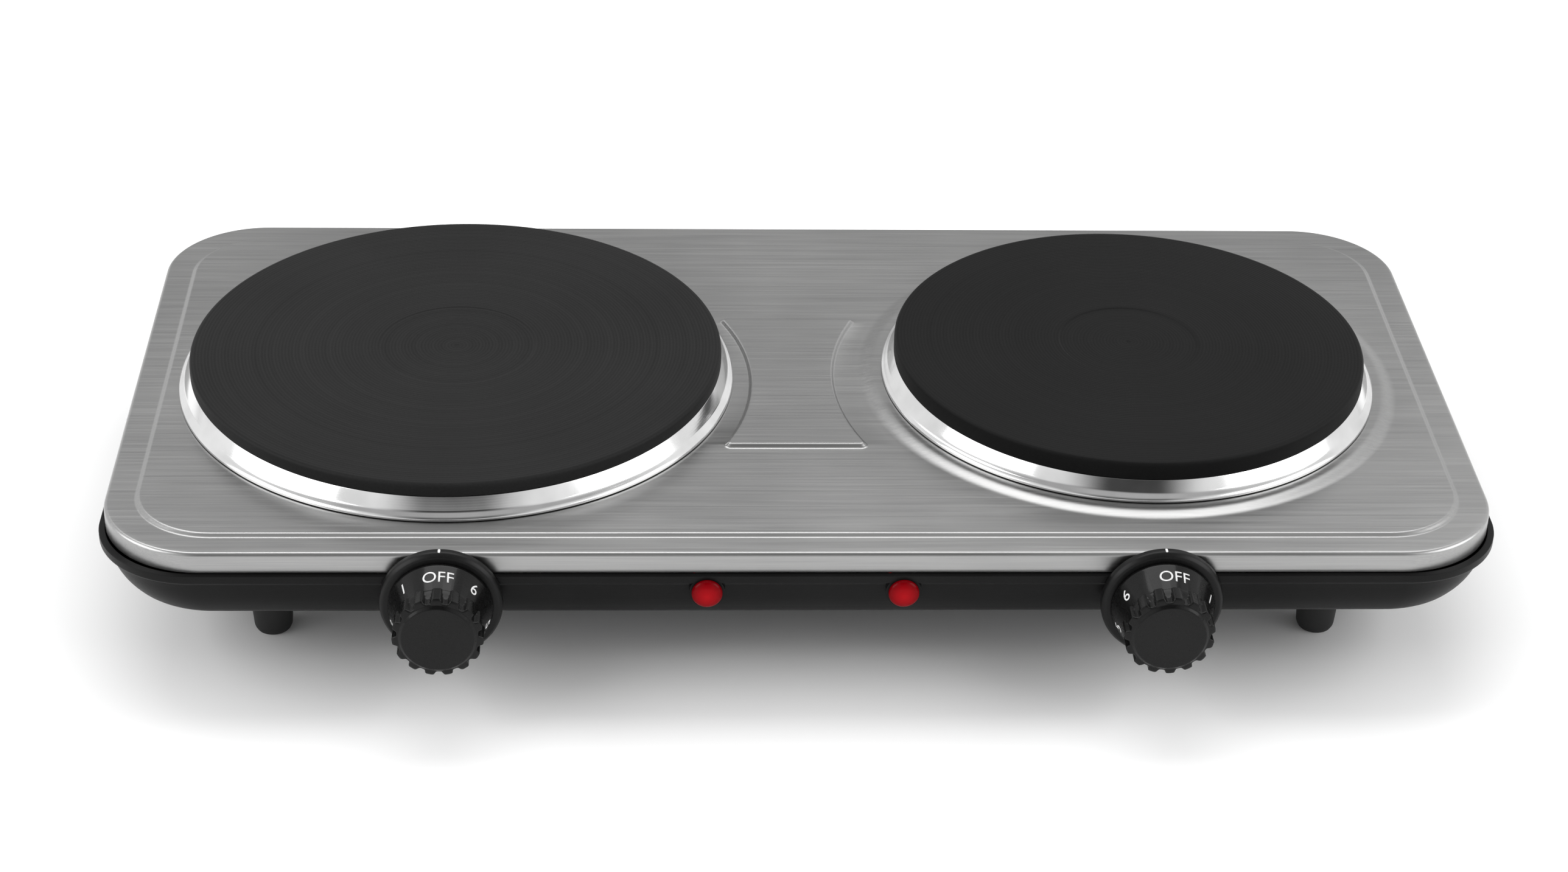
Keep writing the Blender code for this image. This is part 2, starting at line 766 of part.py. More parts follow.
def make_insulator(side, at):
    """The mica washer that carries the coil."""
    outer = at["radius"] - 1.3 * MM - PLATE_RIM_WALL - GAP
    bore = BOSS_RADIUS + GAP
    washer = turned(
        side + "_mica_disc",
        [
            (outer, at["mica_top"]),
            (outer, at["mica_top"] - INSULATOR),
            (bore, at["mica_top"] - INSULATOR),
            (bore, at["mica_top"]),
        ],
        MEDIUM_STEPS,
        ring=True,
    )
    place(washer, ROOT, (at["x"], 0, 0), look=mica())


def make_heat_shield(side, at):
    """The steel dish that closes the plate from below."""
    rim = at["radius"] - HOLE_CLEARANCE - 0.8 * MM
    sheet = SHIELD_SHEET
    bore = STUD_RADIUS + GAP
    shield = turned(
        side + "_heat_shield",
        [
            (rim, at["shield_top"]),
            (rim, at["shield_top"] - sheet),
            (rim - 7 * MM, at["shield_top"] - sheet),
            (rim - 13 * MM, at["shield_floor"] - sheet),
            (bore, at["shield_floor"] - sheet),
            (bore, at["shield_floor"]),
            (rim - 13.3 * MM, at["shield_floor"]),
            (rim - 7.3 * MM, at["shield_top"]),
        ],
        MEDIUM_STEPS,
        ring=True,
    )
    place(shield, ROOT, (at["x"], 0, 0), look=zinc_steel())


def make_clamp(side, at):
    """The stud in the plate's boss, the bridge under the cover, and the nut that draws them together."""
    stud = cylinder(side + "_plate_stud", STUD_RADIUS, STUD_LENGTH, 16)
    place(stud, ROOT, (at["x"], 0, at["stud_top"] - STUD_LENGTH), look=zinc_steel())
    half = COLLAR_RADIUS + BRIDGE_BEYOND
    lug = at["radius"] - HOLE_CLEARANCE + 2 * MM
    rise = PANEL_UNDER - GAP - at["bridge_top"]
    sheet = BRIDGE_SHEET
    upper = [(-half, rise), (-lug, rise), (-lug + 3 * MM, 0)]
    lower = [(-lug + 2 * MM, -sheet), (-lug - 1 * MM, rise - sheet), (-half, rise - sheet)]
    mirrored_upper = [(-x, z) for x, z in reversed(upper)]
    mirrored_lower = [(-x, z) for x, z in reversed(lower)]
    bridge = outline(
        side + "_clamp_bridge", [upper + mirrored_upper + mirrored_lower + lower], BRIDGE_WIDTH
    )
    place(bridge, ROOT, (at["x"], 0, at["bridge_top"]), (math.pi / 2, 0, 0), zinc_steel())
    drill = cylinder(side + "_bridge_drill", STUD_RADIUS + GAP, 6 * MM)
    place(drill, ROOT, (at["x"], 0, at["bridge_top"] - 4 * MM), helper=True)
    boolean(bridge, drill)
    nut = cylinder(side + "_clamp_nut", NUT_RADIUS, NUT_HEIGHT, 6)
    nut_bottom = at["bridge_top"] - BRIDGE_SHEET - GAP - NUT_HEIGHT
    place(nut, ROOT, (at["x"], 0, nut_bottom), look=zinc_steel())
    thread = cylinder(side + "_nut_thread", STUD_RADIUS + GAP / 2, 2 * NUT_HEIGHT, 16)
    place(thread, ROOT, (at["x"], 0, nut_bottom - NUT_HEIGHT / 2), helper=True)
    boolean(nut, thread)


def make_plate_terminal(side, at):
    """The ceramic block under the heat shield where the coil's ends meet the leads."""
    size = (22 * MM, 12 * MM, 9 * MM)
    height = at["shield_floor"] - SHIELD_SHEET - GAP - size[2] / 2
    block = box(side + "_plate_terminal", size, 1 * MM)
    place(block, ROOT, (at["x"], 32 * MM, height), look=ceramic())


# ---------------------------------------------------------------- knobs and thermostats


def make_bezel(side, at):
    """The round escutcheon behind the knob."""
    bezel = turned(
        side + "_bezel",
        [
            (BEZEL_RADIUS - 4 * MM, BEZEL_THICKNESS),
            (BEZEL_RADIUS - 1.6 * MM, BEZEL_THICKNESS),
            (BEZEL_RADIUS - 0.4 * MM, BEZEL_THICKNESS - 0.5 * MM),
            (BEZEL_RADIUS, BEZEL_THICKNESS - 1.6 * MM),
            (BEZEL_RADIUS, 0),
            (BEZEL_BORE, 0),
            (BEZEL_BORE, BEZEL_THICKNESS - 1 * MM),
            (BEZEL_RADIUS - 5 * MM, BEZEL_THICKNESS - 1 * MM),
        ],
        MEDIUM_STEPS,
        ring=True,
    )
    place(bezel, ROOT, (at["knob_x"], BEZEL_BACK, KNOB_HEIGHT), TOWARDS_FRONT, black_moulding())


def fluted_outline():
    """The grip's outline: square ridges with sloping flanks round a circle."""
    pitch = 2 * math.pi / KNOB_RIDGES
    corners = ((-0.29, KNOB_VALLEY_RADIUS), (-0.2, KNOB_RIDGE_RADIUS))
    corners += tuple((-turn, radius) for turn, radius in reversed(corners))
    points = []
    for ridge in range(KNOB_RIDGES):
        for turn, radius in corners:
            angle = math.pi / 2 + pitch * (ridge + turn)
            points.append((radius * math.cos(angle), radius * math.sin(angle)))
    return points


def make_knob(side, at, axis):
    """The knob: a dial skirt, a ridged grip and a flat face, bored for the spindle."""
    face_start = KNOB_LENGTH - KNOB_FACE
    knob = turned(
        side + "_knob",
        [
            (0, KNOB_LENGTH),
            (KNOB_FACE_RADIUS, KNOB_LENGTH),
            (KNOB_CORE_RADIUS, face_start),
            (KNOB_CORE_RADIUS, KNOB_RIM + KNOB_CONE),
            (KNOB_CONE_END, KNOB_RIM + KNOB_CONE),
            (KNOB_RIM_RADIUS, KNOB_RIM),
            (KNOB_RIM_RADIUS, 0),
            (0, 0),
        ],
        MEDIUM_STEPS,
    )
    place(knob, axis, (0, KNOB_BACK, 0), TOWARDS_FRONT, black_gloss())
    grip_length = KNOB_GRIP + KNOB_CONE / 2
    ridges = outline(side + "_grip_form", [fluted_outline()], grip_length)
    grip_middle = KNOB_BACK - (face_start - grip_length / 2)
    place(ridges, axis, (0, grip_middle, 0), TOWARDS_FRONT, helper=True)
    boolean(knob, ridges, "UNION")
    socket = cylinder(side + "_knob_socket", SPINDLE_RADIUS + GAP, SPINDLE_BITE + GAP + 5 * MM)
    place(socket, axis, (0, KNOB_BACK + 5 * MM, 0), TOWARDS_FRONT, helper=True)
    boolean(knob, socket)


def make_spindle(side, axis):
    """The thermostat's shaft, from inside the knob to behind the cam."""
    length = SPINDLE_REAR - (KNOB_BACK - SPINDLE_BITE)
    spindle = cylinder(side + "_spindle", SPINDLE_RADIUS, length, 16)
    place(spindle, axis, (0, SPINDLE_REAR, 0), TOWARDS_FRONT, brass())


def cam_outline():
    """A spiral that rises steadily for the knob's whole travel, then falls back to its start."""
    steps = 48
    points = []
    for i in range(steps):
        turn = 360 * i / steps
        if turn <= CAM_SWEEP:
            radius = CAM_RADIUS + CAM_RISE * turn / CAM_SWEEP
        else:
            fall = min(1, (turn - CAM_SWEEP) / CAM_FALL)
            radius = CAM_RADIUS + CAM_RISE * (1 - fall)
        angle = math.pi / 2 + math.radians(turn)
        points.append((radius * math.cos(angle), radius * math.sin(angle)))
    return points


def circle(radius, steps):
    return [
        (radius * math.cos(2 * math.pi * i / steps), radius * math.sin(2 * math.pi * i / steps))
        for i in range(steps)
    ]


def make_cam(side, axis):
    cam = outline(side + "_cam", [cam_outline(), circle(SPINDLE_RADIUS + GAP, 16)], CAM_THICKNESS)
    place(cam, axis, (0, CAM_BACK - CAM_THICKNESS / 2, 0), TOWARDS_FRONT, mica())


def make_bracket(side, at):
    """The plate that holds the thermostat to the back of the knob boss."""
    half_width, half_height = BRACKET_WIDTH / 2, BRACKET_HEIGHT / 2
    corners = [
        (-half_width, -half_height),
        (half_width, -half_height),
        (half_width, half_height),
        (-half_width, half_height),
    ]
    hole = circle(SPINDLE_RADIUS + GAP, 16)
    bracket = outline(side + "_thermostat_bracket", [corners, hole], BRACKET)
    middle = BOSS_BACK + GAP + BRACKET / 2
    place(bracket, ROOT, (at["knob_x"], middle, KNOB_HEIGHT), TOWARDS_FRONT, zinc_steel())


def make_ceramic(side, at):
    """The ceramic block that carries the blades, beside the arm's pivot."""
    block = box(side + "_thermostat_ceramic", CERAMIC, 0.8 * MM)
    x = at["knob_x"] + ARM_LENGTH + 2 * MM + CERAMIC[0] / 2
    y = BRACKET_BACK + GAP + CERAMIC[1] / 2
    place(block, ROOT, (x, y, ARM_HEIGHT), look=ceramic())


def make_arm(side, pivot):
    """The moving blade: a strip over the cam, with a rolled and bored end on its pin."""
    length = ARM_LENGTH + ARM_TIP
    bm = bmesh.new()
    bmesh.ops.create_cube(bm, size=1)
    bmesh.ops.scale(bm, verts=bm.verts, vec=(length, ARM_WIDTH, ARM_SHEET))
    bmesh.ops.translate(bm, verts=bm.verts, vec=(-length / 2, 0, ARM_SHEET / 2))
    arm = mesh_object(side + "_contact_arm", bm)
    place(arm, pivot, look=brass())
    for name, radius, reach, operation in (
        ("_arm_roll", ROLL_RADIUS, ARM_WIDTH, "UNION"),
        ("_arm_bore", PIN_RADIUS + GAP, 2 * ARM_WIDTH, "DIFFERENCE"),
    ):
        round_form = cylinder(side + name, radius, reach, 12)
        place(round_form, pivot, (0, reach / 2, 0), TOWARDS_FRONT, helper=True)
        boolean(arm, round_form, operation)


def make_pivot_pin(side, at):
    """The pin that the blade turns on, standing out behind the bracket."""
    length = ARM_Y + ARM_WIDTH / 2 + 1 * MM - BRACKET_BACK - GAP
    pin = cylinder(side + "_pivot_pin", PIN_RADIUS, length, 12)
    rear = BRACKET_BACK + GAP + length
    place(pin, ROOT, (at["knob_x"] + ARM_LENGTH, rear, ARM_HEIGHT), TOWARDS_FRONT, zinc_steel())


def make_fixed_contact(side, at):
    """The fixed blade above the moving one, which reaches out from the ceramic."""
    start = ARM_LENGTH + 2 * MM - GAP
    length = start + ARM_TIP
    blade = box(side + "_fixed_contact", (length, ARM_WIDTH, CONTACT_SHEET))
    height = ARM_HEIGHT + ARM_SHEET + CONTACT_GAP + CONTACT_SHEET / 2
    place(blade, ROOT, (at["knob_x"] + start - length / 2, ARM_Y, height), look=brass())


# ---------------------------------------------------------------- lamps


def make_lamp(side, at):
    """The red lens, hollow from behind, and the neon lamp inside it."""
    where = (at["lamp_x"], BASE_FRONT - GAP, LAMP_HEIGHT)
    dome = [
        (LAMP_RADIUS * math.sin(a), 0.6 * MM + (LAMP_DOME - 0.6 * MM) * math.cos(a))
        for a in (0, 0.35, 0.7, 1.05, 1.35, math.pi / 2)
    ]
    lens = turned(
        side + "_lamp_lens",
        [
            *dome,
            (LAMP_RADIUS, 0),
            (LAMP_BODY_RADIUS, 0),
            (LAMP_BODY_RADIUS, -LAMP_LENGTH),
            (LAMP_BORE, -LAMP_LENGTH),
            (LAMP_BORE, 0.6 * MM),
            (0, 0.6 * MM),
        ],
        SMALL_STEPS,
    )
    place(lens, ROOT, where, TOWARDS_FRONT, red_lens())
    neon = turned(
        side + "_neon_lamp",
        [
            (0, 0),
            (NEON_RADIUS * 0.7, -0.5 * MM),
            (NEON_RADIUS, -1.6 * MM),
            (NEON_RADIUS, -NEON_LENGTH),
            (0, -NEON_LENGTH),
        ],
        16,
    )
    place(neon, ROOT, where, TOWARDS_FRONT, lamp_glass())


# ---------------------------------------------------------------- mains entry


def make_mains_entry():
    gland = turned(
        "cord_gland",
        [
            (GLAND_NECK, GLAND_PROUD),
            (GLAND_RADIUS, 2 * MM),
            (GLAND_RADIUS, 0),
            (GLAND_NECK, 0),
            (GLAND_NECK, -GLAND_DEPTH),
            (GLAND_BORE, -GLAND_DEPTH),
            (GLAND_BORE, GLAND_PROUD),
        ],
        24,
        ring=True,
    )
    seat = (GLAND_X, BASE_DEPTH / 2 + GAP, GLAND_HEIGHT)
    place(gland, ROOT, seat, TOWARDS_REAR, rubber())
    block = box("mains_terminal_block", TERMINALS, 1 * MM)
    middle = FLOOR_TOP + GAP + TERMINALS[2] / 2
    place(block, ROOT, (0, TERMINALS_Y, middle), look=ceramic())


def make_lead(side, at):
    """A sleeved lead over the floor, from the mains terminals to the back of the thermostat."""
    out = math.copysign(1, at["x"])
    low = FLOOR_TOP + LEAD_RADIUS + 1 * MM
    start_y = TERMINALS_Y - TERMINALS[1] / 2 - GAP
    end_y = BRACKET_BACK + GAP + CERAMIC[1] + GAP
    end_x = at["knob_x"] + ARM_LENGTH + 2 * MM + CERAMIC[0] / 2
    route = [
        (out * 10 * MM, start_y, FLOOR_TOP + 6 * MM),
        (out * 11 * MM, start_y - 8 * MM, FLOOR_TOP + 5 * MM),
        (out * 26 * MM, start_y - 36 * MM, low),
        (end_x * 0.8, 0, low),
        (end_x, end_y + 26 * MM, low),
        (end_x, end_y + 8 * MM, ARM_HEIGHT - 5 * MM),
        (end_x, end_y, ARM_HEIGHT - 4 * MM),
    ]
    lead = tube(side + "_lead", smooth_route(route, 8 * LEAD_RADIUS), LEAD_RADIUS)
    place(lead, ROOT, look=lead_sleeve())


# ---------------------------------------------------------------- the whole object


def make_side(side, at):
    make_hotplate(side, at)
    make_trim_ring(side, at)
    make_heating_coil(side, at)
    make_insulator(side, at)
    make_heat_shield(side, at)
    make_clamp(side, at)
    make_plate_terminal(side, at)
    make_bezel(side, at)
    axis = empty(side + "_knob_axis", ROOT, (at["knob_x"], 0, KNOB_HEIGHT))
    axis.rotation_euler = (0, math.radians(at["turn"]), 0)
    make_knob(side, at, axis)
    make_spindle(side, axis)
    make_cam(side, axis)
    make_bracket(side, at)
    make_ceramic(side, at)
    pivot = empty(side + "_arm_axis", ROOT, (at["knob_x"] + ARM_LENGTH, ARM_Y, ARM_HEIGHT))
    make_arm(side, pivot)
    make_pivot_pin(side, at)
    make_fixed_contact(side, at)
    make_lamp(side, at)
    make_lead(side, at)


clear_scene()
PARTS = new_collection("hot_plate")
CUTTERS = new_collection("cutters")
CUTTERS.hide_render = True
ROOT = empty("housing", None, (0, HOUSING_Y, 0))
make_top_cover()
make_base_pan()
make_mains_entry()
for row, foot_y in (("front", -FOOT_Y), ("rear", FOOT_Y)):
    for column, foot_x in (("left", -FOOT_X), ("right", FOOT_X)):
        make_foot(row + "_" + column, foot_x, foot_y)
for side_name, side_sizes in SIDES.items():
    make_side(side_name, side_sizes)
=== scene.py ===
import math

import bmesh
import bpy
import numpy as np
from mathutils import Matrix, Vector


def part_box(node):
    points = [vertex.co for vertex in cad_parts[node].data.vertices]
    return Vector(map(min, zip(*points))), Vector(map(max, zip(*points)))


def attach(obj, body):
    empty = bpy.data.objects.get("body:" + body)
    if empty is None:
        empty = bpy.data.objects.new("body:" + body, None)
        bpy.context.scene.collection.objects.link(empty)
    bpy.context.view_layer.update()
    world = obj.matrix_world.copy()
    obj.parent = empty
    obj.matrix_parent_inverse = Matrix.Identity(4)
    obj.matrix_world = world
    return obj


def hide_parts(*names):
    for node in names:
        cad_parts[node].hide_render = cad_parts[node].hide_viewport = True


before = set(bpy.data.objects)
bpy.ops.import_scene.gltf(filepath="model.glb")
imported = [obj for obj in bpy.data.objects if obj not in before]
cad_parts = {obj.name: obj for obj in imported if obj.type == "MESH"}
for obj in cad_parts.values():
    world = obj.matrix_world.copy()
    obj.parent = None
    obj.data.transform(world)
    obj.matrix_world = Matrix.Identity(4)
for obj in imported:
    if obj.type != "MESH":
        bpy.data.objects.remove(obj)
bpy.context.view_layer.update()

mm = 0.001
print("frame loaded")


class Wire:
    # a socket that Python can do sums with
    def __init__(self, recipe, socket):
        self.recipe, self.socket = recipe, socket

    def __add__(self, other): return self.recipe.sum("ADD", self, other)
    def __radd__(self, other): return self.recipe.sum("ADD", other, self)
    def __sub__(self, other): return self.recipe.sum("SUBTRACT", self, other)
    def __rsub__(self, other): return self.recipe.sum("SUBTRACT", other, self)
    def __mul__(self, other): return self.recipe.sum("MULTIPLY", self, other)
    def __rmul__(self, other): return self.recipe.sum("MULTIPLY", other, self)


class Recipe:
    # one finish, or the light all round: its nodes come from add() and from sums on wires
    def __init__(self, name, surroundings=None, **uniform):
        self.material = surroundings or bpy.data.materials.new(name)
        self.material.use_nodes = True
        self.tree = self.material.node_tree
        self.shader = self.tree.nodes["Background" if surroundings else "Principled BSDF"]
        for key, value in uniform.items():
            self.shader.inputs[key.replace("_", " ")].default_value = value

    def add(self, kind, settings=None, inputs=None, output=0):
        made = self.tree.nodes.new("ShaderNode" + kind)
        for key, value in (settings or {}).items():
            if key == "stops":
                while len(made.color_ramp.elements) < len(value):
                    made.color_ramp.elements.new(0.5)
                for stop, (place, shade) in zip(made.color_ramp.elements, value):
                    stop.position, stop.color = place, (*shade, 1)
            else:
                setattr(made, key, value)
        for key, value in (inputs or {}).items():
            if isinstance(value, Wire):
                self.tree.links.new(value.socket, made.inputs[key])
            else:
                made.inputs[key].default_value = value
        return Wire(self, made.outputs[output])

    def sum(self, operation, a, b):
        return self.add("Math", {"operation": operation}, {0: a, 1: b})

    def feed(self, **wires):
        for key, wire in wires.items():
            self.tree.links.new(wire.socket, self.shader.inputs[key.replace("_", " ")])
        return self.material

    def where(self, centre=(0, 0, 0), scale=(1, 1, 1)):
        # object coordinates, measured from centre and then stretched by scale
        coordinates = self.add("TexCoord", output="Object")
        moved = self.add("VectorMath", {"operation": "SUBTRACT"}, {0: coordinates, 1: centre})
        return self.add("VectorMath", {"operation": "MULTIPLY"}, {0: moved, 1: scale})

    def noise(self, place, scale=1.0, detail=2.0):
        return self.add("TexNoise", {"noise_dimensions": "3D"},
                        {"Vector": place, "Scale": scale, "Detail": detail}, "Fac")

    def ramp(self, value, *stops):
        return self.add("ValToRGB", {"stops": stops}, {"Fac": value})

    def bump(self, height, depth, strength=1.0):
        return self.add("Bump", inputs={"Height": height, "Distance": depth, "Strength": strength})


def grey(level, tint=(1, 1, 1)):
    # one level in all three channels, each times its tint
    return tuple(level * part for part in tint)


steelLook = {"dark": 0.3, "light": 0.385, "streaksPerMetre": 3400, "along": 16, "cloudsPerMetre": 13}


def brushedSteel():
    # fine streaks along X, with broad faint clouds and a few longer scratches over them
    look = Recipe("brushedSteel", Metallic=1.0)
    across, along = steelLook["streaksPerMetre"], steelLook["along"]
    streak = look.noise(look.where(scale=(along * 2, across, across)), 1, 2)
    scratch = look.noise(look.where(scale=(along, across * 0.35, across * 0.35)), 1, 3)
    cloud = look.noise(look.where(), steelLook["cloudsPerMetre"], 3)
    tone = streak * 0.35 + scratch * 0.3 + cloud * 0.35
    colour = look.ramp(tone, (0.34, grey(steelLook["dark"])), (0.66, grey(steelLook["light"], (1, 0.998, 0.99))))
    return look.feed(Base_Color=colour, Roughness=scratch * 0.14 + cloud * 0.1 + 0.2,
                     Normal=look.bump(streak * 0.5 + scratch * 0.5, 0.00002, 0.25))


def chromedSteel(centre):
    # bright plating with faint turning lines round the ring
    look = Recipe("chromedSteel", Metallic=1.0)
    reach = look.add("VectorMath", {"operation": "LENGTH"}, {0: look.where(centre, (1, 1, 0))}, "Value")
    line = look.add("Math", {"operation": "SINE"}, {0: reach * 14000})
    haze = look.noise(look.where(), 60, 3)
    return look.feed(Base_Color=look.ramp(haze, (0.3, grey(0.64)), (0.7, grey(0.78))),
                     Roughness=haze * 0.1 + 0.07, Normal=look.bump(line, 0.000004, 0.12))


ironLook = {"groovePitch": 1.15 * mm, "grooveDepth": 0.00006}


def castIron(name, centre, dark, light):
    # turned face: concentric grooves about the plate's own centre, of uneven strength, with a sandy grain
    look = Recipe(name, Specular_IOR_Level=0.095)
    reach = look.add("VectorMath", {"operation": "LENGTH"}, {0: look.where(centre, (1, 1, 0))}, "Value")
    groove = look.add("Math", {"operation": "SINE"}, {0: reach * (2 * math.pi / ironLook["groovePitch"])})
    band = look.noise(look.add("CombineXYZ", inputs={"X": reach * 420}), 1, 3)
    grain = look.noise(look.where(), 1300, 3)
    cloud = look.noise(look.where(), 16, 3)
    tone = band * 0.4 + grain * 0.25 + cloud * 0.25 + groove * 0.07 + 0.05
    return look.feed(Base_Color=look.ramp(tone, (0.32, grey(dark)), (0.7, grey(light))),
                     Roughness=band * 0.14 + grain * 0.12 + 0.42,
                     Normal=look.bump(groove * 0.4 + band * 0.8 + grain * 0.7, ironLook["grooveDepth"], 0.7))


def moulded(name, dark, light, rough, grainPerMetre, depth, coat=0.0, tint=(1, 1, 1), shine=0.3):
    # plastic or rubber with a fine moulded grain and a faint uneven tone
    look = Recipe(name, Coat_Weight=coat, Coat_Roughness=0.08, Specular_IOR_Level=shine)
    grain = look.noise(look.where(), grainPerMetre, 2)
    cloud = look.noise(look.where(), 22, 2)
    colour = look.ramp(cloud * 0.7 + grain * 0.3, (0.3, grey(dark, tint)), (0.7, grey(light, tint)))
    return look.feed(Base_Color=colour,
                     Roughness=grain * 0.12 + cloud * 0.08 + (rough - 0.1),
                     Normal=look.bump(grain, depth, 0.4))


def plated(name, dark, light, rough, tint=(1, 1, 1)):
    # metal with a fine crystalline spangle, which moves its tone and its roughness together
    look = Recipe(name, Metallic=1.0)
    spangle = look.noise(look.where(), 260, 4)
    return look.feed(Base_Color=look.ramp(spangle, (0.3, grey(dark, tint)), (0.7, grey(light, tint))),
                     Roughness=spangle * 0.2 + (rough - 0.1), Normal=look.bump(spangle, 0.00002, 0.3))


def glowingRed(name, centre):
    # a lit lens: a hot middle over the lamp, falling off to a deep red edge
    look = Recipe(name, Roughness=0.2, Coat_Weight=0.02, Emission_Strength=1.0, Specular_IOR_Level=0.05)
    reach = look.add("VectorMath", {"operation": "LENGTH"}, {0: look.where(centre, (1, 0, 1))}, "Value")
    ripple = look.noise(look.where(), 700, 2)
    fall = reach * 190 + ripple * 0.12
    return look.feed(Base_Color=look.ramp(fall, (0.0, (0.16, 0.002, 0.004)), (1.0, (0.08, 0.0, 0.001))),
                     Emission_Color=look.ramp(fall, (0.0, (0.26, 0.002, 0.004)), (0.6, (0.17, 0.001, 0.003)),
                                              (1.0, (0.06, 0.0, 0.001))))


def gridObject(name, points, material, closed=(False, True), sharp=38):
    # points[i, j] is a place. Each cell between neighbours is a quad, and a closed way joins last to first
    rows, columns = points.shape[:2]
    i = np.arange(rows if closed[0] else rows - 1)
    j = np.arange(columns if closed[1] else columns - 1)
    a, b = np.meshgrid(i, j, indexing="ij")
    up, along = (a + 1) % rows, (b + 1) % columns
    quads = np.stack([a * columns + b, a * columns + along, up * columns + along, up * columns + b], -1)
    mesh = bpy.data.meshes.new(name)
    mesh.from_pydata(points.reshape(-1, 3).tolist(), [], quads.reshape(-1, 4).tolist())
    return finishedObject(name, mesh, material, sharp)


def finishedObject(name, mesh, material, sharp=38):
    # joins points that meet at a pole or a seam, turns every face outwards and keeps the edges over the angle sharp
    bm = bmesh.new()
    bm.from_mesh(mesh)
    bmesh.ops.remove_doubles(bm, verts=bm.verts, dist=2e-6)
    bmesh.ops.dissolve_degenerate(bm, edges=bm.edges, dist=1e-7)
    bmesh.ops.recalc_face_normals(bm, faces=bm.faces)
    bm.to_mesh(mesh)
    bm.free()
    obj = bpy.data.objects.new(name, mesh)
    bpy.context.scene.collection.objects.link(obj)
    mesh.materials.append(material)
    mesh.shade_smooth()
    mesh.set_sharp_from_angle(angle=math.radians(sharp))
    return obj


def softProfile(corners, steps=5):
    # a line through corners (radius, height, fillet): each fillet is a parabola between its two straight runs
    line = np.array([corner[:2] for corner in corners], float) * mm
    made = [line[0]]
    for k in range(1, len(line) - 1):
        fillet = corners[k][2] * mm
        if not fillet:
            made.append(line[k])
            continue
        before, after = line[k - 1] - line[k], line[k + 1] - line[k]
        start = line[k] + before / np.linalg.norm(before) * fillet
        end = line[k] + after / np.linalg.norm(after) * fillet
        for t in np.linspace(0, 1, steps + 1):
            made.append((1 - t) ** 2 * start + 2 * t * (1 - t) * line[k] + t * t * end)
    made.append(line[-1])
    return np.array(made)


def turnedGrid(profile, centre, facing="up", steps=180, swell=None):
    # each profile point (radius, height) is swept round the axis: (r cos a, r sin a, h), r changed by swell(a, r, h)
    turn = np.linspace(0, 2 * np.pi, steps, endpoint=False)
    radius, turn = np.meshgrid(profile[:, 0], turn, indexing="ij")
    height = np.repeat(profile[:, 1:2], steps, axis=1)
    if swell is not None:
        radius = swell(turn, radius, height)
    across, upward = radius * np.cos(turn), radius * np.sin(turn)
    spots = {"up": (across, upward, height), "front": (across, -height, upward), "rear": (across, height, upward)}
    return np.stack(spots[facing], -1) + np.array(centre)


def middle(node):
    # the middle of a CAD piece's box
    low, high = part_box(node)
    return (Vector(low) + Vector(high)) / 2


def use(piece, body, slot, *nodes):
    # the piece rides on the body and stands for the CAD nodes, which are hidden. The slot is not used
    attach(piece, body)
    if nodes:
        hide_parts(*nodes)
    return piece


sides = ("left", "right")
footNames = ("front_left", "front_right", "rear_left", "rear_right")
housing = middle("top_cover")
plateX = {side: middle(side + "_hotplate").x for side in sides}
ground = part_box("foot_front_left")[0][2]


cover = {
    "width": 460, "depth": 228, "corner": 34.5, "cornerKeep": 0.74, "top": 54, "skirtBottom": 46.8, "bend": 1.3,
    "sheet": 0.7, "stepStart": 9.5, "stepRun": 2.0, "stepRise": 0.9, "panelInset": 13,
    "collarRadius": 95, "collarRun": 5.5, "collarRise": 1.0, "joinRadius": 97, "joinTurn": 60, "holeLess": 4,
    "plateauDepth": 45, "plateauArc": {"left": 102, "right": 103.5}, "plateauForward": 5, "plateauRise": 1.2,
    "plateauRun": 1.5, "plateauCorner": 3,
}


def ease(t):
    # 0 below 0, 1 above 1, and 3t^2 - 2t^3 between
    t = np.clip(t, 0, 1)
    return t * t * (3 - 2 * t)


def coverContour(inset, along):
    # the left half of the outline moved in by inset. along: 0-1 rear, 1-2 corner, 2-4 left, 4-5 corner, 5-6 front
    halfX, halfY = cover["width"] / 2 - inset, cover["depth"] / 2 - inset
    corner = cover["corner"] - cover["cornerKeep"] * inset
    turn = np.pi / 2 * (1 + np.clip(along - 1, 0, 1) + np.clip(along - 4, 0, 1))
    x = -(halfX - corner) * np.clip(np.minimum(along, 6 - along), 0, 1) + corner * np.cos(turn)
    return x, (halfY - corner) * np.clip(3 - along, -1, 1) + corner * np.sin(turn)


def plateauHeight(x, y, arc):
    # how far inside both the straight edge and the arc beside each plate, with the corner between them rounded
    y = y + cover["plateauForward"]
    reach = np.hypot(np.abs(x) - abs(plateX["left"]) / mm, y) - arc
    reach = np.where(np.abs(x) < abs(plateX["left"]) / mm, reach, -1)
    corner = cover["plateauCorner"]
    inside = corner - np.hypot(np.maximum(corner - reach, 0),
                               np.maximum(corner - cover["plateauDepth"] + np.abs(y), 0))
    return cover["plateauRise"] * ease(inside / cover["plateauRun"])


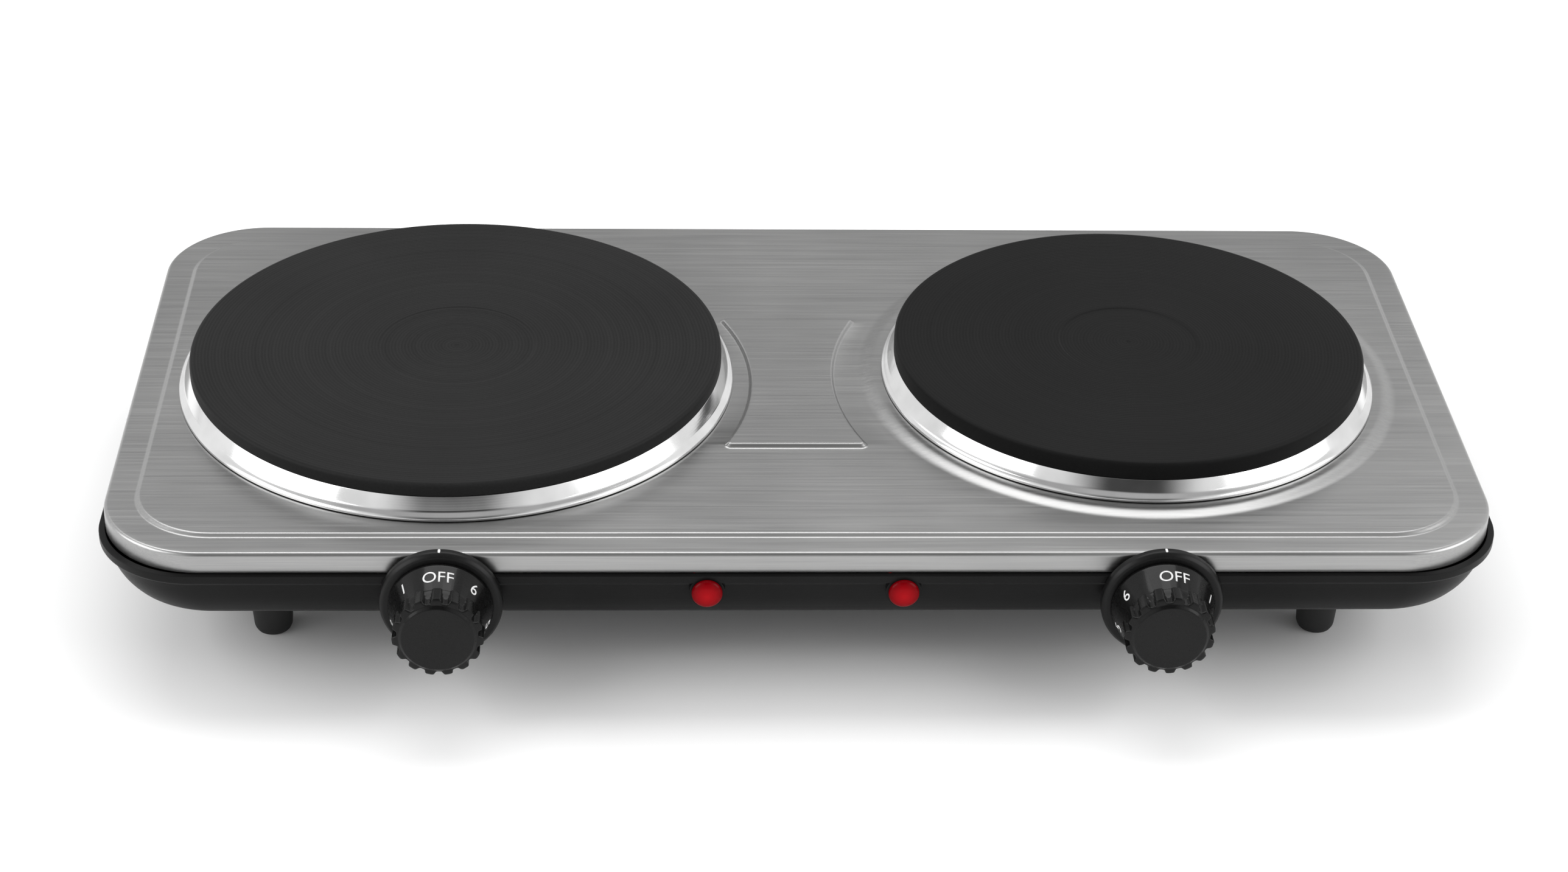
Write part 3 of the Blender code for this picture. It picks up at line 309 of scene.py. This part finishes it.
def coverColumns():
    # each column runs from the circle round the plate either to the panel's edge (the outer ones) or to x = 0
    along = np.concatenate([np.linspace(0, 1, 60, endpoint=False), np.linspace(1, 2, 26, endpoint=False),
                            np.linspace(2, 4, 41)])
    along = np.concatenate([along, 6 - along[::-1][np.flatnonzero(along[::-1] < 2)]])
    outer = np.stack(coverContour(cover["panelInset"], along), -1)
    bearing = np.degrees(np.arctan2(outer[:, 1], outer[:, 0] - plateX["left"] / mm)) % 360
    share = (180 - cover["joinTurn"]) / (180 - bearing[0])
    last = cover["depth"] / 2 - cover["panelInset"]
    edges = (cover["plateauDepth"] + cover["plateauForward"], cover["plateauDepth"] - cover["plateauForward"])
    rows = [np.concatenate([np.arange(3, edge - 4, 5.4), np.linspace(edge - cover["plateauCorner"], edge, 10),
                            [edge + 0.6], np.arange(edge + 5, 61, 5), np.arange(64, last - 1, 4)]) for edge in edges]
    middleY = np.concatenate([-rows[0][::-1], [0], rows[1]])
    level = cover["joinRadius"]
    bend = math.degrees(math.asin(60 / level))
    turn = np.where(np.abs(middleY) <= 60, np.degrees(np.arcsin(np.clip(middleY / level, -1, 1))),
                    np.sign(middleY) * np.interp(np.abs(middleY), [60, last], [bend, cover["joinTurn"]]))
    ends = np.concatenate([outer, np.stack([0 * middleY, middleY], -1)])
    turns = np.radians(np.concatenate([180 + (bearing - 180) * share, turn]))
    return along, ends, turns


def cells(index, ring, flip=False):
    # the quads of a grid of vertex numbers: ring also joins the last column to the first
    if ring:
        index = np.concatenate([index, index[:, :1]], 1)
    quads = np.stack([index[:-1, :-1], index[:-1, 1:], index[1:, 1:], index[1:, :-1]], -1).reshape(-1, 4)
    return quads[:, ::-1] if flip else quads


def makeCover():
    # the upper and the under surface are the same grid, a sheet apart, closed along the hole and the skirt's edge
    along, ends, turns = coverColumns()
    outerCount, panel = len(along), cover["top"] + cover["stepRise"]
    centre = np.array([plateX["left"] / mm, 0])
    start = cover["joinRadius"] * np.stack([np.cos(turns), np.sin(turns)], -1)
    run = ends - centre - start
    away = start + [0, cover["plateauForward"]]
    dot, length, reach = (away * run).sum(1), (run * run).sum(1), (away * away).sum(1)
    insets = np.concatenate([[12.2, 11.75], np.linspace(11.5, 9.5, 11), [9.2, 8.4, 6.4, 4.4, 2.6, 1.3]])
    swing = np.radians(np.linspace(10, 90, 9))
    drop = cover["top"] - cover["skirtBottom"]
    places, quads, count = [], [], 0
    for side in sides:
        mirror = -1 if side == "right" else 1
        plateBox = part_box(side + "_hotplate")
        hole = (plateBox[1][0] - plateBox[0][0]) / 2 / mm - cover["holeLess"]
        radii = np.concatenate([np.linspace(hole, 89.0, 4), np.linspace(89.5, 95, 9), [95.4, cover["joinRadius"]]])
        disc = centre + radii[:, None, None] * np.stack([np.cos(turns), np.sin(turns)], -1)
        discZ = panel + cover["collarRise"] * ease((cover["collarRadius"] - radii) / cover["collarRun"])
        arc = cover["plateauArc"][side]
        stops = arc + np.linspace(0, cover["plateauCorner"], 10)
        share = (-dot + np.sqrt(np.maximum(dot ** 2 + length * (stops[:, None] ** 2 - reach), 0))) / length
        share[:, :outerCount] = share[:, :1]
        share = np.concatenate([share, share[-1] + (1 - share[-1]) * np.array([[0.5], [1.0]])])
        blend = centre + start + share[..., None] * run
        flat = np.concatenate([np.dstack([disc, discZ[:, None] + 0 * disc[..., 0]]),
                               np.dstack([blend, panel + plateauHeight(blend[..., 0], blend[..., 1], arc)])])
        layers = []
        for thick in (0, cover["sheet"]):
            bend = cover["bend"] - thick
            inset = np.concatenate([insets, cover["bend"] - bend * np.sin(swing), [thick] * 4])
            height = np.concatenate([
                cover["top"] - thick + cover["stepRise"] * ease((insets - cover["stepStart"]) / cover["stepRun"]),
                cover["top"] - thick - bend * (1 - np.cos(swing)),
                cover["top"] - np.linspace(cover["bend"], drop, 5)[1:]])
            x, y = coverContour(inset[:, None], along[None, :])
            rim = np.dstack([x, y, height[:, None] + 0 * x])
            upper = flat - [0, 0, thick]
            numbers = count + np.arange(upper.shape[0] * upper.shape[1]).reshape(upper.shape[:2])
            rimNumbers = numbers[-1, -1] + 1 + np.arange(rim.shape[0] * rim.shape[1]).reshape(rim.shape[:2])
            rimNumbers = np.concatenate([numbers[-1:, :outerCount], rimNumbers])
            quads += [cells(numbers, True, thick > 0), cells(rimNumbers, False, thick > 0)]
            places += [upper.reshape(-1, 3), rim.reshape(-1, 3)]
            count = rimNumbers[-1, -1] + 1
            layers.append((numbers, rimNumbers))
        quads += [cells(np.stack([layers[1][0][0], layers[0][0][0]]), True),
                  cells(np.stack([layers[0][1][-1], layers[1][1][-1]]), False)]
        for block in places[-4:]:
            block[:, 0] *= mirror
    points = np.concatenate(places) * mm + np.array([housing.x, housing.y, 0])
    mesh = bpy.data.meshes.new("coverSheet")
    mesh.from_pydata(points.tolist(), [], np.concatenate(quads).tolist())
    return finishedObject("coverSheet", mesh, brushedSteel(), 50)


use(makeCover(), "housing", "brushed_steel", "top_cover")
print("cover made")


plateLook = {"left": (0.007, 0.018), "right": (0.002, 0.008)}
plate = {
    "recess": {"left": 27, "right": 24}, "recessDepth": 0.4, "dimple": 0.8, "dimpleDepth": 0.5, "edge": 1.5,
    "rimWall": 6.0, "depth": 10.5, "under": 6.2, "lip": 1.3, "boss": 9, "studBore": 3.3, "studDepth": 6.8,
}


def makePlate(side):
    # a turned line: dimple, shallow recess, face, rounded edge, rim wall, hollow under the face, boss and stud hole
    low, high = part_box(side + "_hotplate")
    top, radius = high[2] / mm, (high[0] - low[0]) / 2 / mm
    recess, ringTop = plate["recess"][side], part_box(side + "_trim_ring")[1][2] / mm
    dish, under, bottom = top - plate["recessDepth"], top - plate["under"], top - plate["depth"]
    line = softProfile([
        (0, dish - plate["dimpleDepth"], 0), (plate["dimple"], dish, 0.1), (recess, dish, 0.3),
        (recess + 0.7, top, 0.3), (radius * 0.62, top, 0), (radius, top, plate["edge"]),
        (radius, ringTop + 0.3, 0.3), (radius - plate["lip"], ringTop + 0.3, 0),
        (radius - plate["lip"], bottom, 0.4), (radius - plate["rimWall"], bottom, 0.4),
        (radius - plate["rimWall"], under, 0.6), (plate["boss"], under, 0.6),
        (plate["boss"], bottom, 0), (plate["studBore"], bottom, 0),
        (plate["studBore"], bottom + plate["studDepth"], 0),
        (0, bottom + plate["studDepth"], 0),
    ])
    centre = (plateX[side], housing.y, 0)
    finish = castIron(side + "Iron", centre, *plateLook[side])
    disc = gridObject(side + "Plate", turnedGrid(line, centre, steps=220), finish)
    return use(disc, "housing", "cast_iron", side + "_hotplate")


def makeRing(side):
    # a turned, closed line: flat lip inside, slope down and out, rolled foot, and back up the underside
    low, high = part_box(side + "_trim_ring")
    outer, foot, top = (high[0] - low[0]) / 2 / mm, low[2] / mm, high[2] / mm
    inner = outer - 4.3
    line = softProfile([
        (inner - 1.0, top, 0), (inner - 0.4, top, 0.25), (outer - 1.9, foot + 2.1, 0.9),
        (outer - 0.8, foot + 1.6, 0.4),
        (outer, foot + 0.8, 0.4), (outer, foot, 0.15), (outer - 0.7, foot, 0.15), (outer - 0.7, foot + 0.6, 0.2),
        (outer - 2.3, foot + 1.3, 0.5), (inner - 1.0, top - 0.7, 0), (inner - 1.0, top, 0),
    ])
    centre = (plateX[side], housing.y, 0)
    grid = turnedGrid(line[:-1], centre, steps=220)
    ring = gridObject(side + "Ring", grid, chromedSteel(centre), closed=(True, True))
    return use(ring, "housing", "chromed_steel", side + "_trim_ring")


for side in sides:
    makePlate(side)
    makeRing(side)
print("plates and rings made")


base = {
    "width": 463.6 * mm, "depth": 231.6 * mm, "corner": 33 * mm, "cornerKeep": 0.41, "around": 44,
    "line": [(26, 24, 0), (17, 24, 3.5), (9, 26.5, 3.2), (4, 34, 5), (2.4, 42.1, 0.9), (0, 43.5, 0.7),
             (0, 46.5, 0.25), (2, 46.5, 0.25), (2, 42.6, 0.6), (4.3, 41, 0.8), (6, 34.6, 3.5),
             (10.9, 28.1, 2.4), (17.6, 26, 2.5), (26, 26, 0)],
    "vents": 7, "ventPitch": 11 * mm, "ventLength": 40 * mm, "ventWidth": 4 * mm,
    "boss": 9, "bossDepth": 18, "bore": 6, "lampBoss": 5.8, "lampBossDepth": 5, "lampBore": 4.5,
    "cordBoss": 9.5, "cordBossDepth": 10, "cordBore": 6.3, "footBore": 2.3,
    "look": (0.004, 0.009, 0.4, 1400, 0.00003), "shine": 0.11,
}


def baseOutline(inset):
    # the base's outline moved inwards: straight sides, and corner arcs whose radius shrinks with the inset
    corner = base["corner"] - base["cornerKeep"] * inset
    turn = np.concatenate([np.linspace(0, np.pi / 2, base["around"]) + np.pi / 2 * k for k in range(4)])
    sx = np.repeat([1, -1, -1, 1], base["around"])
    sy = np.repeat([1, 1, -1, -1], base["around"])
    return np.stack([sx * (base["width"] / 2 - inset - corner) + corner * np.cos(turn),
                     sy * (base["depth"] / 2 - inset - corner) + corner * np.sin(turn)], -1)


def roundTool(radius, start, end, centre, facing, steps=48):
    # a plain cylinder from start to end along its facing
    line = np.array([(0, end), (radius, end), (radius, start), (0, start)], float) * mm
    return turnedGrid(line, centre, facing, steps)


def ventTool(x, y):
    # a slot with round ends: two half circles moved apart along X, carried through the floor
    turn = np.linspace(0, 2 * np.pi, 32, endpoint=False)
    dx = np.sign(np.round(np.cos(turn), 6)) * (base["ventLength"] - base["ventWidth"]) / 2
    px, py = dx + base["ventWidth"] / 2 * np.cos(turn), base["ventWidth"] / 2 * np.sin(turn)
    rows = [(0, 30), (1, 30), (1, 20), (0, 20)]
    return np.stack([np.stack([x + px * share, y + py * share, 0 * px + z * mm], -1) for share, z in rows])


def carve(piece, operation, grids):
    # one Boolean with every cutter in one mesh, worked out at once
    bm = bmesh.new()
    for grid in grids:
        tool = gridObject("tool", grid, bpy.data.materials.get("tool") or bpy.data.materials.new("tool"))
        bm.from_mesh(tool.data)
        bpy.data.objects.remove(tool)
    mesh = bpy.data.meshes.new("tools")
    bm.to_mesh(mesh)
    bm.free()
    tools = bpy.data.objects.new("tools", mesh)
    bpy.context.scene.collection.objects.link(tools)
    step = piece.modifiers.new("carve", "BOOLEAN")
    step.operation, step.object, step.solver, step.material_mode = operation, tools, "EXACT", "INDEX"
    made = bpy.data.meshes.new_from_object(piece.evaluated_get(bpy.context.evaluated_depsgraph_get()))
    piece.modifiers.clear()
    piece.data = made
    bpy.data.objects.remove(tools)


def makeBase():
    # outer floor, wall, lip and inner wall are one line carried round the outline, with both floors closed to a point
    line = softProfile(base["line"], 7)
    loops = [np.column_stack([baseOutline(inset), np.full(4 * base["around"], height)]) for inset, height in line]
    closing = [np.array([share, share, 1]) for share in (0, 0.3, 0.65)]
    loops = [loops[0] * c for c in closing] + loops + [loops[-1] * c for c in closing[::-1]]
    grid = np.stack(loops) + np.array([housing.x, housing.y, 0])
    finish = moulded("blackMoulding", *base["look"], shine=base["shine"])
    pan = gridObject("basePan", grid, finish, sharp=40)
    front, rear = housing.y - base["depth"] / 2, housing.y + base["depth"] / 2
    cord = middle("cord_gland")
    joins = [roundTool(base["cordBoss"], -base["cordBossDepth"], 0, (cord.x, rear, cord.z), "rear")]
    cuts = [roundTool(base["cordBore"], -24, 9, (cord.x, rear, cord.z), "rear")]
    for side in sides:
        dial, lamp = middle(side + "_spindle"), middle(side + "_lamp_lens")
        for spot, boss, depth, bore in ((dial, base["boss"], base["bossDepth"], base["bore"]),
                                        (lamp, base["lampBoss"], base["lampBossDepth"], base["lampBore"])):
            joins.append(roundTool(boss, -depth, 0, (spot.x, front, spot.z), "front"))
            cuts.append(roundTool(bore, -depth - 9, 9, (spot.x, front, spot.z), "front"))
        for k in range(base["vents"]):
            cuts.append(ventTool(plateX[side], housing.y + (k - (base["vents"] - 1) / 2) * base["ventPitch"]))
    for name in footNames:
        screw = middle("foot_screw_" + name)
        cuts.append(roundTool(base["footBore"], 18, 32, (screw.x, screw.y, 0), "up", 24))
    carve(pan, "UNION", joins)
    carve(pan, "DIFFERENCE", cuts)
    bm = bmesh.new()
    bm.from_mesh(pan.data)
    bmesh.ops.remove_doubles(bm, verts=bm.verts, dist=2e-6)
    bmesh.ops.dissolve_degenerate(bm, edges=bm.edges, dist=1e-6)
    bm.to_mesh(pan.data)
    bm.free()
    pan.data.set_sharp_from_angle(angle=math.radians(40))
    return use(pan, "housing", "black_moulding", "base_pan")


makeBase()
print("base made")


knob = {
    "length": 18.6, "rim": 17, "rimEdge": 1.2, "coneEnd": 10.4, "coneRadius": 14, "valley": 13.0, "ridge": 14.7,
    "ridges": 15, "face": 11.6, "gripEnd": 17.4, "bore": 3.3, "boreDepth": 12.3, "restTurn": {"left": 0, "right": 7},
    "ridgeSharp": 2.6, "ridgeWide": 0.6, "runOut": 4.5,
    "look": (0.002, 0.006, 0.28, 900, 0.000008), "coat": 0.14, "shine": 0.12,
    "markSize": 5.8, "offSize": 6.0, "numbers": 6, "numbersFrom": {"left": (-46, -53.4), "right": (58, 47.2)},
}


def ridged(turn, radius, height):
    # on the grip the radius swings between valley and ridge: a flattened cosine, faded in and out along the axis.
    # Next to the cone the valleys are filled up to the cone's edge, and they deepen over the first few millimetres
    sharp, wide = knob["ridgeSharp"], knob["ridgeWide"]
    wave = np.tanh(sharp * np.cos(knob["ridges"] * (turn - np.pi / 2)) + wide) / math.tanh(sharp + wide)
    share = ease((height / mm - knob["coneEnd"] + 0.2) / 0.5) * ease((knob["gripEnd"] + 0.3 - height / mm) / 0.7)
    onGrip = (np.abs(radius / mm - knob["valley"]) < 0.35)
    swing = (knob["ridge"] - knob["valley"]) * (wave + 1) / 2 * share
    fill = (knob["coneRadius"] - knob["valley"]) * (1 - ease((height / mm - knob["coneEnd"]) / knob["runOut"]))
    return radius + np.where(onGrip, np.maximum(swing, fill) * mm, 0)


def turnedAboutKnob(side, points):
    # the dial's own turn at rest, clockwise seen from the front, about its axis
    angle = math.radians(knob["restTurn"][side])
    x, z = points[..., 0], points[..., 2]
    spot = middle(side + "_spindle")
    dx, dz = x - spot.x, z - spot.z
    moved = points.copy()
    moved[..., 0] = spot.x + dx * math.cos(angle) + dz * math.sin(angle)
    moved[..., 2] = spot.z - dx * math.sin(angle) + dz * math.cos(angle)
    return moved


def knobBack(side):
    # the plane that the knob's back is in
    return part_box(side + "_knob")[1][1]


def makeKnob(side):
    # a turned line: face, grip, cone, rim and the bore for the spindle, with the grip ridged by ridged()
    k = knob
    spot = middle(side + "_spindle")
    line = softProfile([
        (0, k["length"], 0), (k["face"] * 0.8, k["length"] - 0.05, 0), (k["face"], k["length"] - 0.15, 0.3),
        (k["valley"] - 0.5, k["gripEnd"] + 0.2, 0.2), (k["valley"], k["gripEnd"], 0.2),
        (k["valley"], k["coneEnd"], 0), (k["coneRadius"], k["coneEnd"], 0), (k["rim"], k["rimEdge"], 0.5),
        (k["rim"], 0, 0.3), (k["bore"], 0, 0), (k["bore"], k["boreDepth"], 0), (0, k["boreDepth"], 0),
    ])
    # more rows along the grip, so that the ridges have their own ends
    index = int(np.argmax(np.abs(np.diff(line[:, 1])) * (np.abs(line[:-1, 0] - k["valley"] * mm) < 0.3 * mm)))
    extra = np.linspace(line[index], line[index + 1], 26)[1:-1]
    line = np.concatenate([line[:index + 1], extra, line[index + 1:]])
    grid = turnedGrid(line, (spot.x, knobBack(side), spot.z), "front", 360, ridged)
    finish = moulded(side + "KnobGloss", *k["look"], coat=k["coat"], shine=k["shine"])
    return use(gridObject(side + "Knob", turnedAboutKnob(side, grid), finish, sharp=30),
               side + "_knob_assembly", "black_gloss", side + "_knob")


def markMesh(words, size):
    # flat lettering, divided finely enough to be laid on the cone
    curve = bpy.data.curves.new("mark", "FONT")
    curve.body, curve.size, curve.align_x, curve.align_y = words, size * mm, "CENTER", "CENTER"
    holder = bpy.data.objects.new("mark", curve)
    bpy.context.scene.collection.objects.link(holder)
    bpy.context.view_layer.update()
    mesh = bpy.data.meshes.new_from_object(holder.evaluated_get(bpy.context.evaluated_depsgraph_get()))
    bpy.data.objects.remove(holder)
    bm = bmesh.new()
    bm.from_mesh(mesh)
    bmesh.ops.remove_doubles(bm, verts=bm.verts, dist=1e-6)
    bmesh.ops.triangulate(bm, faces=bm.faces)
    bmesh.ops.subdivide_edges(bm, edges=bm.edges, cuts=1)
    bmesh.ops.triangulate(bm, faces=bm.faces)
    bm.to_mesh(mesh)
    bm.free()
    return mesh


def makeMark(side, words, clockwise, size, finish):
    # flat lettering laid on the cone: u runs round the dial, v up the slope from the grip to the rim
    mesh = markMesh(words, size)
    flat = np.empty(len(mesh.vertices) * 3)
    mesh.vertices.foreach_get("co", flat)
    flat = flat.reshape(-1, 3)
    slope = math.hypot(knob["coneEnd"] - knob["rimEdge"], knob["rim"] - knob["coneRadius"]) * mm
    share = 0.5 + flat[:, 1] / slope
    lift = 0.05 * mm
    radius = (knob["coneRadius"] + (knob["rim"] - knob["coneRadius"]) * share) * mm + lift
    forward = (knob["coneEnd"] - (knob["coneEnd"] - knob["rimEdge"]) * share) * mm + lift * 0.4
    turn = math.radians(clockwise) + flat[:, 0] / radius
    spot = middle(side + "_spindle")
    points = np.stack([spot.x + radius * np.sin(turn), knobBack(side) - forward, spot.z + radius * np.cos(turn)], -1)
    mesh.vertices.foreach_set("co", turnedAboutKnob(side, points).ravel())
    mesh.update()
    mark = finishedObject(side + "Mark" + words, mesh, finish)
    thick = mark.modifiers.new("paint", "SOLIDIFY")
    thick.thickness, thick.offset = 0.04 * mm, 0
    return use(mark, side + "_knob_assembly", "black_gloss")


def makeBezel(side):
    # a turned, closed line: sunk face, raised rim with rounded edges, flat back
    low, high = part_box(side + "_bezel")
    radius, thick = (high[0] - low[0]) / 2 / mm, (high[1] - low[1]) / mm
    line = softProfile([(6, thick - 1, 0), (radius - 5, thick - 1, 0.4), (radius - 4, thick, 0.4),
                        (radius - 1.2, thick, 0.6), (radius, thick - 1.4, 0.7), (radius, 0, 0.2), (6, 0, 0),
                        (6, thick - 1, 0)])
    spot = middle(side + "_spindle")
    finish = moulded(side + "BezelBlack", 0.004, 0.009, 0.34, 1200, 0.00002, shine=0.16)
    grid = turnedGrid(line[:-1], (spot.x, high[1], spot.z), "front", 200)
    bezel = gridObject(side + "Bezel", grid, finish, closed=(True, True))
    # the pointer mark: a rounded bar, a superellipse in both directions, standing just proud of the rim's top
    u, v = np.meshgrid(np.linspace(-np.pi / 2, np.pi / 2, 13), np.linspace(0, 2 * np.pi, 28, endpoint=False),
                       indexing="ij")
    shaped = lambda a: np.sign(a) * np.abs(a) ** 0.5
    bar = np.stack([0.4 * mm * shaped(np.cos(u)) * shaped(np.cos(v)),
                    1.0 * mm * shaped(np.cos(u)) * shaped(np.sin(v)), 0.12 * mm * shaped(np.sin(u))], -1)
    bar = bar + np.array([spot.x, high[1] - 1.2 * mm, spot.z + (radius - 0.05) * mm])
    tick = gridObject(side + "Tick", bar, bpy.data.materials["dialWhite"])
    use(tick, "housing", "black_moulding")
    return use(bezel, "housing", "black_moulding", side + "_bezel")


dialWhite = moulded("dialWhite", 0.62, 0.78, 0.5, 900, 0.000005)
for side in sides:
    makeKnob(side)
    makeBezel(side)
    makeMark(side, "OFF", 0, knob["offSize"], dialWhite)
    first, pitch = knob["numbersFrom"][side]
    for number in range(1, knob["numbers"] + 1):
        makeMark(side, str(number), first + (number - 1) * pitch, knob["markSize"], dialWhite)
print("knobs made")


lamp = {"radius": 5, "body": 4.2, "bore": 2.9, "length": 11, "wall": 0.6}


def makeLamp(side):
    # a domed lens, r = R sin a and h = w + (rise - w) cos a, on a tube that runs back to the neon lamp
    low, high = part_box(side + "_lamp_lens")
    spot = middle(side + "_lamp_lens")
    seat = housing.y - base["depth"] / 2 - 0.3 * mm
    rise = (seat - low[1]) / mm
    radius, body, bore, length, wall = lamp.values()
    dome = [(radius * math.sin(a), wall + (rise - wall) * math.cos(a)) for a in np.linspace(0, math.pi / 2, 16)]
    line = np.array(dome + [(radius, 0.1), (radius - 0.1, 0), (body, 0), (body, -length), (bore, -length),
                            (bore, wall), (0, wall)]) * mm
    grid = turnedGrid(line, (spot.x, seat, spot.z), "front", 96)
    lens = gridObject(side + "Lens", grid, glowingRed(side + "LensRed", (spot.x, 0, spot.z)))
    return use(lens, "housing", "red_lens", side + "_lamp_lens")


foot = {"top": 8, "base": 6.4, "recess": 3.4, "recessDepth": 13.5, "bore": 2.3}


def makeFoot(name):
    # a tapered, turned foot with a rounded lower edge, recessed for the screw's head
    low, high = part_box("foot_" + name)
    spot, top = middle("foot_" + name), high[2] / mm
    line = softProfile([(foot["top"], top, 0.3), (foot["base"], 1.6, 0.9), (foot["base"] - 0.9, 0, 0.5),
                        (foot["recess"], 0, 0.2), (foot["recess"], foot["recessDepth"], 0),
                        (foot["bore"], foot["recessDepth"], 0), (foot["bore"], top, 0), (foot["top"], top, 0)])
    finish = bpy.data.materials.get("footRubber") or moulded("footRubber", 0.012, 0.025, 0.62, 1000, 0.00003)
    grid = turnedGrid(line[:-1], (spot.x, spot.y, 0), "up", 96)
    return use(gridObject("foot" + name.title().replace("_", ""), grid, finish, closed=(True, True)),
               "housing", "rubber", "foot_" + name)


gland = {"radius": 8.5, "neck": 6, "bore": 4, "proud": 7, "depth": 14}


def makeGland():
    # a turned sleeve through the rear wall: tapered outside, flanged against the wall, bored for the cord
    spot, high = middle("cord_gland"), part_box("cord_gland")[1]
    radius, neck, bore, proud, depth = gland.values()
    line = softProfile([(neck, proud, 0.5), (radius, 2, 0.8), (radius, 0, 0.2), (neck, 0, 0), (neck, -depth, 0.3),
                        (bore, -depth, 0.3), (bore, proud, 0.5), (neck, proud, 0)])
    finish = bpy.data.materials.get("footRubber")
    grid = turnedGrid(line[:-1], (spot.x, high[1] - proud * mm, spot.z), "rear", 120)
    return use(gridObject("cordGland", grid, finish, closed=(True, True)), "housing", "rubber",
               "cord_gland")


for side in sides:
    makeLamp(side)
for name in footNames:
    makeFoot(name)
makeGland()
print("lamps, feet and gland made")


insideLook = {
    "zinc": (("screw", "post", "stud", "nut", "bridge", "shield", "bracket", "pivot_pin"),
             plated("zincPlate", 0.4, 0.62, 0.4)),
    "brass": (("spindle", "contact"), plated("brassPlain", 0.4, 0.62, 0.32, (1, 0.72, 0.32))),
    "coil": (("coil",), plated("coilOxide", 0.14, 0.26, 0.55, (1, 0.9, 0.82))),
    "mica": (("mica", "cam"), moulded("micaSheet", 0.3, 0.55, 0.6, 500, 0.00004, tint=(1, 0.92, 0.8))),
    "ceramic": (("ceramic", "terminal"),
                moulded("ceramicBisque", 0.62, 0.8, 0.5, 800, 0.00003, tint=(1, 0.98, 0.92))),
    "lead": (("lead",), moulded("leadSleeve", 0.45, 0.68, 0.8, 1600, 0.00006, tint=(1, 0.96, 0.86))),
    "neon": (("neon",), moulded("neonGlass", 0.6, 0.8, 0.14, 400, 0.000005, tint=(1, 0.66, 0.42))),
}
# each hidden CAD piece takes the first finish whose words are in its name
for name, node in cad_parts.items():
    for words, finish in insideLook.values():
        if any(word in name for word in words):
            node.data.materials.clear()
            node.data.materials.append(finish)
            break
print("inside finished")


studio = {
    "floor": (0.9, 0.94), "floorSize": 6, "lightAt": (0, 0, 0.05),
    "side": 1.0, "front": 0.06, "back": 0.5, "top": 0.5,
    "sidePower": 9, "sideSize": (1.1, 0.9), "sidePlace": (1.25, -0.35, 0.75),
    "backPower": 25, "backSize": (2.2, 1.1), "backPlace": (-0.1, 0.95, 2.0),
}


def makeFloor():
    # one flat square at the height of the feet
    mesh = bpy.data.meshes.new("floor")
    size = studio["floorSize"]
    mesh.from_pydata([(-size, -size, ground), (size, -size, ground), (size, size, ground), (-size, size, ground)],
                     [], [(0, 1, 2, 3)])
    look = Recipe("paleFloor", Roughness=0.8, Specular_IOR_Level=0.1)
    cloud = look.noise(look.where(), 3, 3)
    shades = look.ramp(cloud, (0.3, grey(studio["floor"][0])), (0.7, grey(studio["floor"][1])))
    mesh.materials.append(look.feed(Base_Color=shades))
    floor = bpy.data.objects.new("floor", mesh)
    bpy.context.scene.collection.objects.link(floor)


def addLight(name, place, power, size):
    # a soft box that faces the object
    lamp = bpy.data.lights.new(name, "AREA")
    lamp.shape, lamp.size, lamp.size_y, lamp.energy = "RECTANGLE", size[0], size[1], power
    holder = bpy.data.objects.new(name, lamp)
    bpy.context.scene.collection.objects.link(holder)
    holder.location = place
    holder.rotation_euler = (Vector(studio["lightAt"]) - Vector(place)).to_track_quat("-Z", "Y").to_euler()


makeFloor()
x, y, z = studio["sidePlace"]
addLight("leftBox", (-x, y, z), studio["sidePower"], studio["sideSize"])
addLight("rightBox", (x, y, z), studio["sidePower"], studio["sideSize"])
addLight("backBox", studio["backPlace"], studio["backPower"], studio["backSize"])


def surroundings():
    # white to the left and right, dimmer all round and overhead, and dark in a patch high in front
    sky = Recipe("studio", bpy.data.worlds.new("studio"))
    toward = sky.add("TexCoord", output="Generated")
    x, y, z = (sky.add("SeparateXYZ", inputs={0: toward}, output=k) for k in range(3))

    def between(value, start, end):
        return sky.add("MapRange", {"interpolation_type": "SMOOTHSTEP"},
                       {"Value": value, "From Min": start, "From Max": end})

    aside = between(sky.add("Math", {"operation": "ABSOLUTE"}, {0: x}), 0.16, 0.5)
    inFront, above = between(0 - y, -0.1, 0.3) * between(z, 0.45, 0.62), between(z, 0.72, 0.95)
    level = inFront * (studio["front"] - studio["back"]) + studio["back"]
    level = level + (studio["side"] - level) * aside
    sky.feed(Strength=level + (studio["top"] - level) * above)
    sky.shader.inputs["Color"].default_value = (1, 1, 1, 1)
    bpy.context.scene.world = sky.material


surroundings()
bpy.context.scene.view_settings.view_transform = "Standard"

view = {"pitch": 0.54323, "yaw": 0.04911, "roll": 0.02618, "lens": 73.276,
        "fromCover": (-50.606 * mm, -975.745 * mm, 565.472 * mm)}


def makeCamera():
    # the camera stands at fromCover, measured from the middle of the cover's border, and turns by the three angles
    cy, sy, cp, sp = math.cos(view["yaw"]), math.sin(view["yaw"]), math.cos(view["pitch"]), math.sin(view["pitch"])
    forward = Vector((sy * cp, cy * cp, -sp))
    right = Vector((cy, -sy, 0))
    up = right.cross(forward)
    cr, sr = math.cos(view["roll"]), math.sin(view["roll"])
    right, up = cr * right + sr * up, -sr * right + cr * up
    data = bpy.data.cameras.new("camera")
    data.sensor_width, data.lens = 36, view["lens"]
    camera = bpy.data.objects.new("camera", data)
    turn = Matrix((right, up, -forward)).transposed().to_4x4()
    place = Vector((housing.x, housing.y, cover["top"] * mm)) + Vector(view["fromCover"])
    camera.matrix_world = Matrix.Translation(place) @ turn
    bpy.context.scene.collection.objects.link(camera)
    bpy.context.scene.camera = camera


makeCamera()
print("stage made")
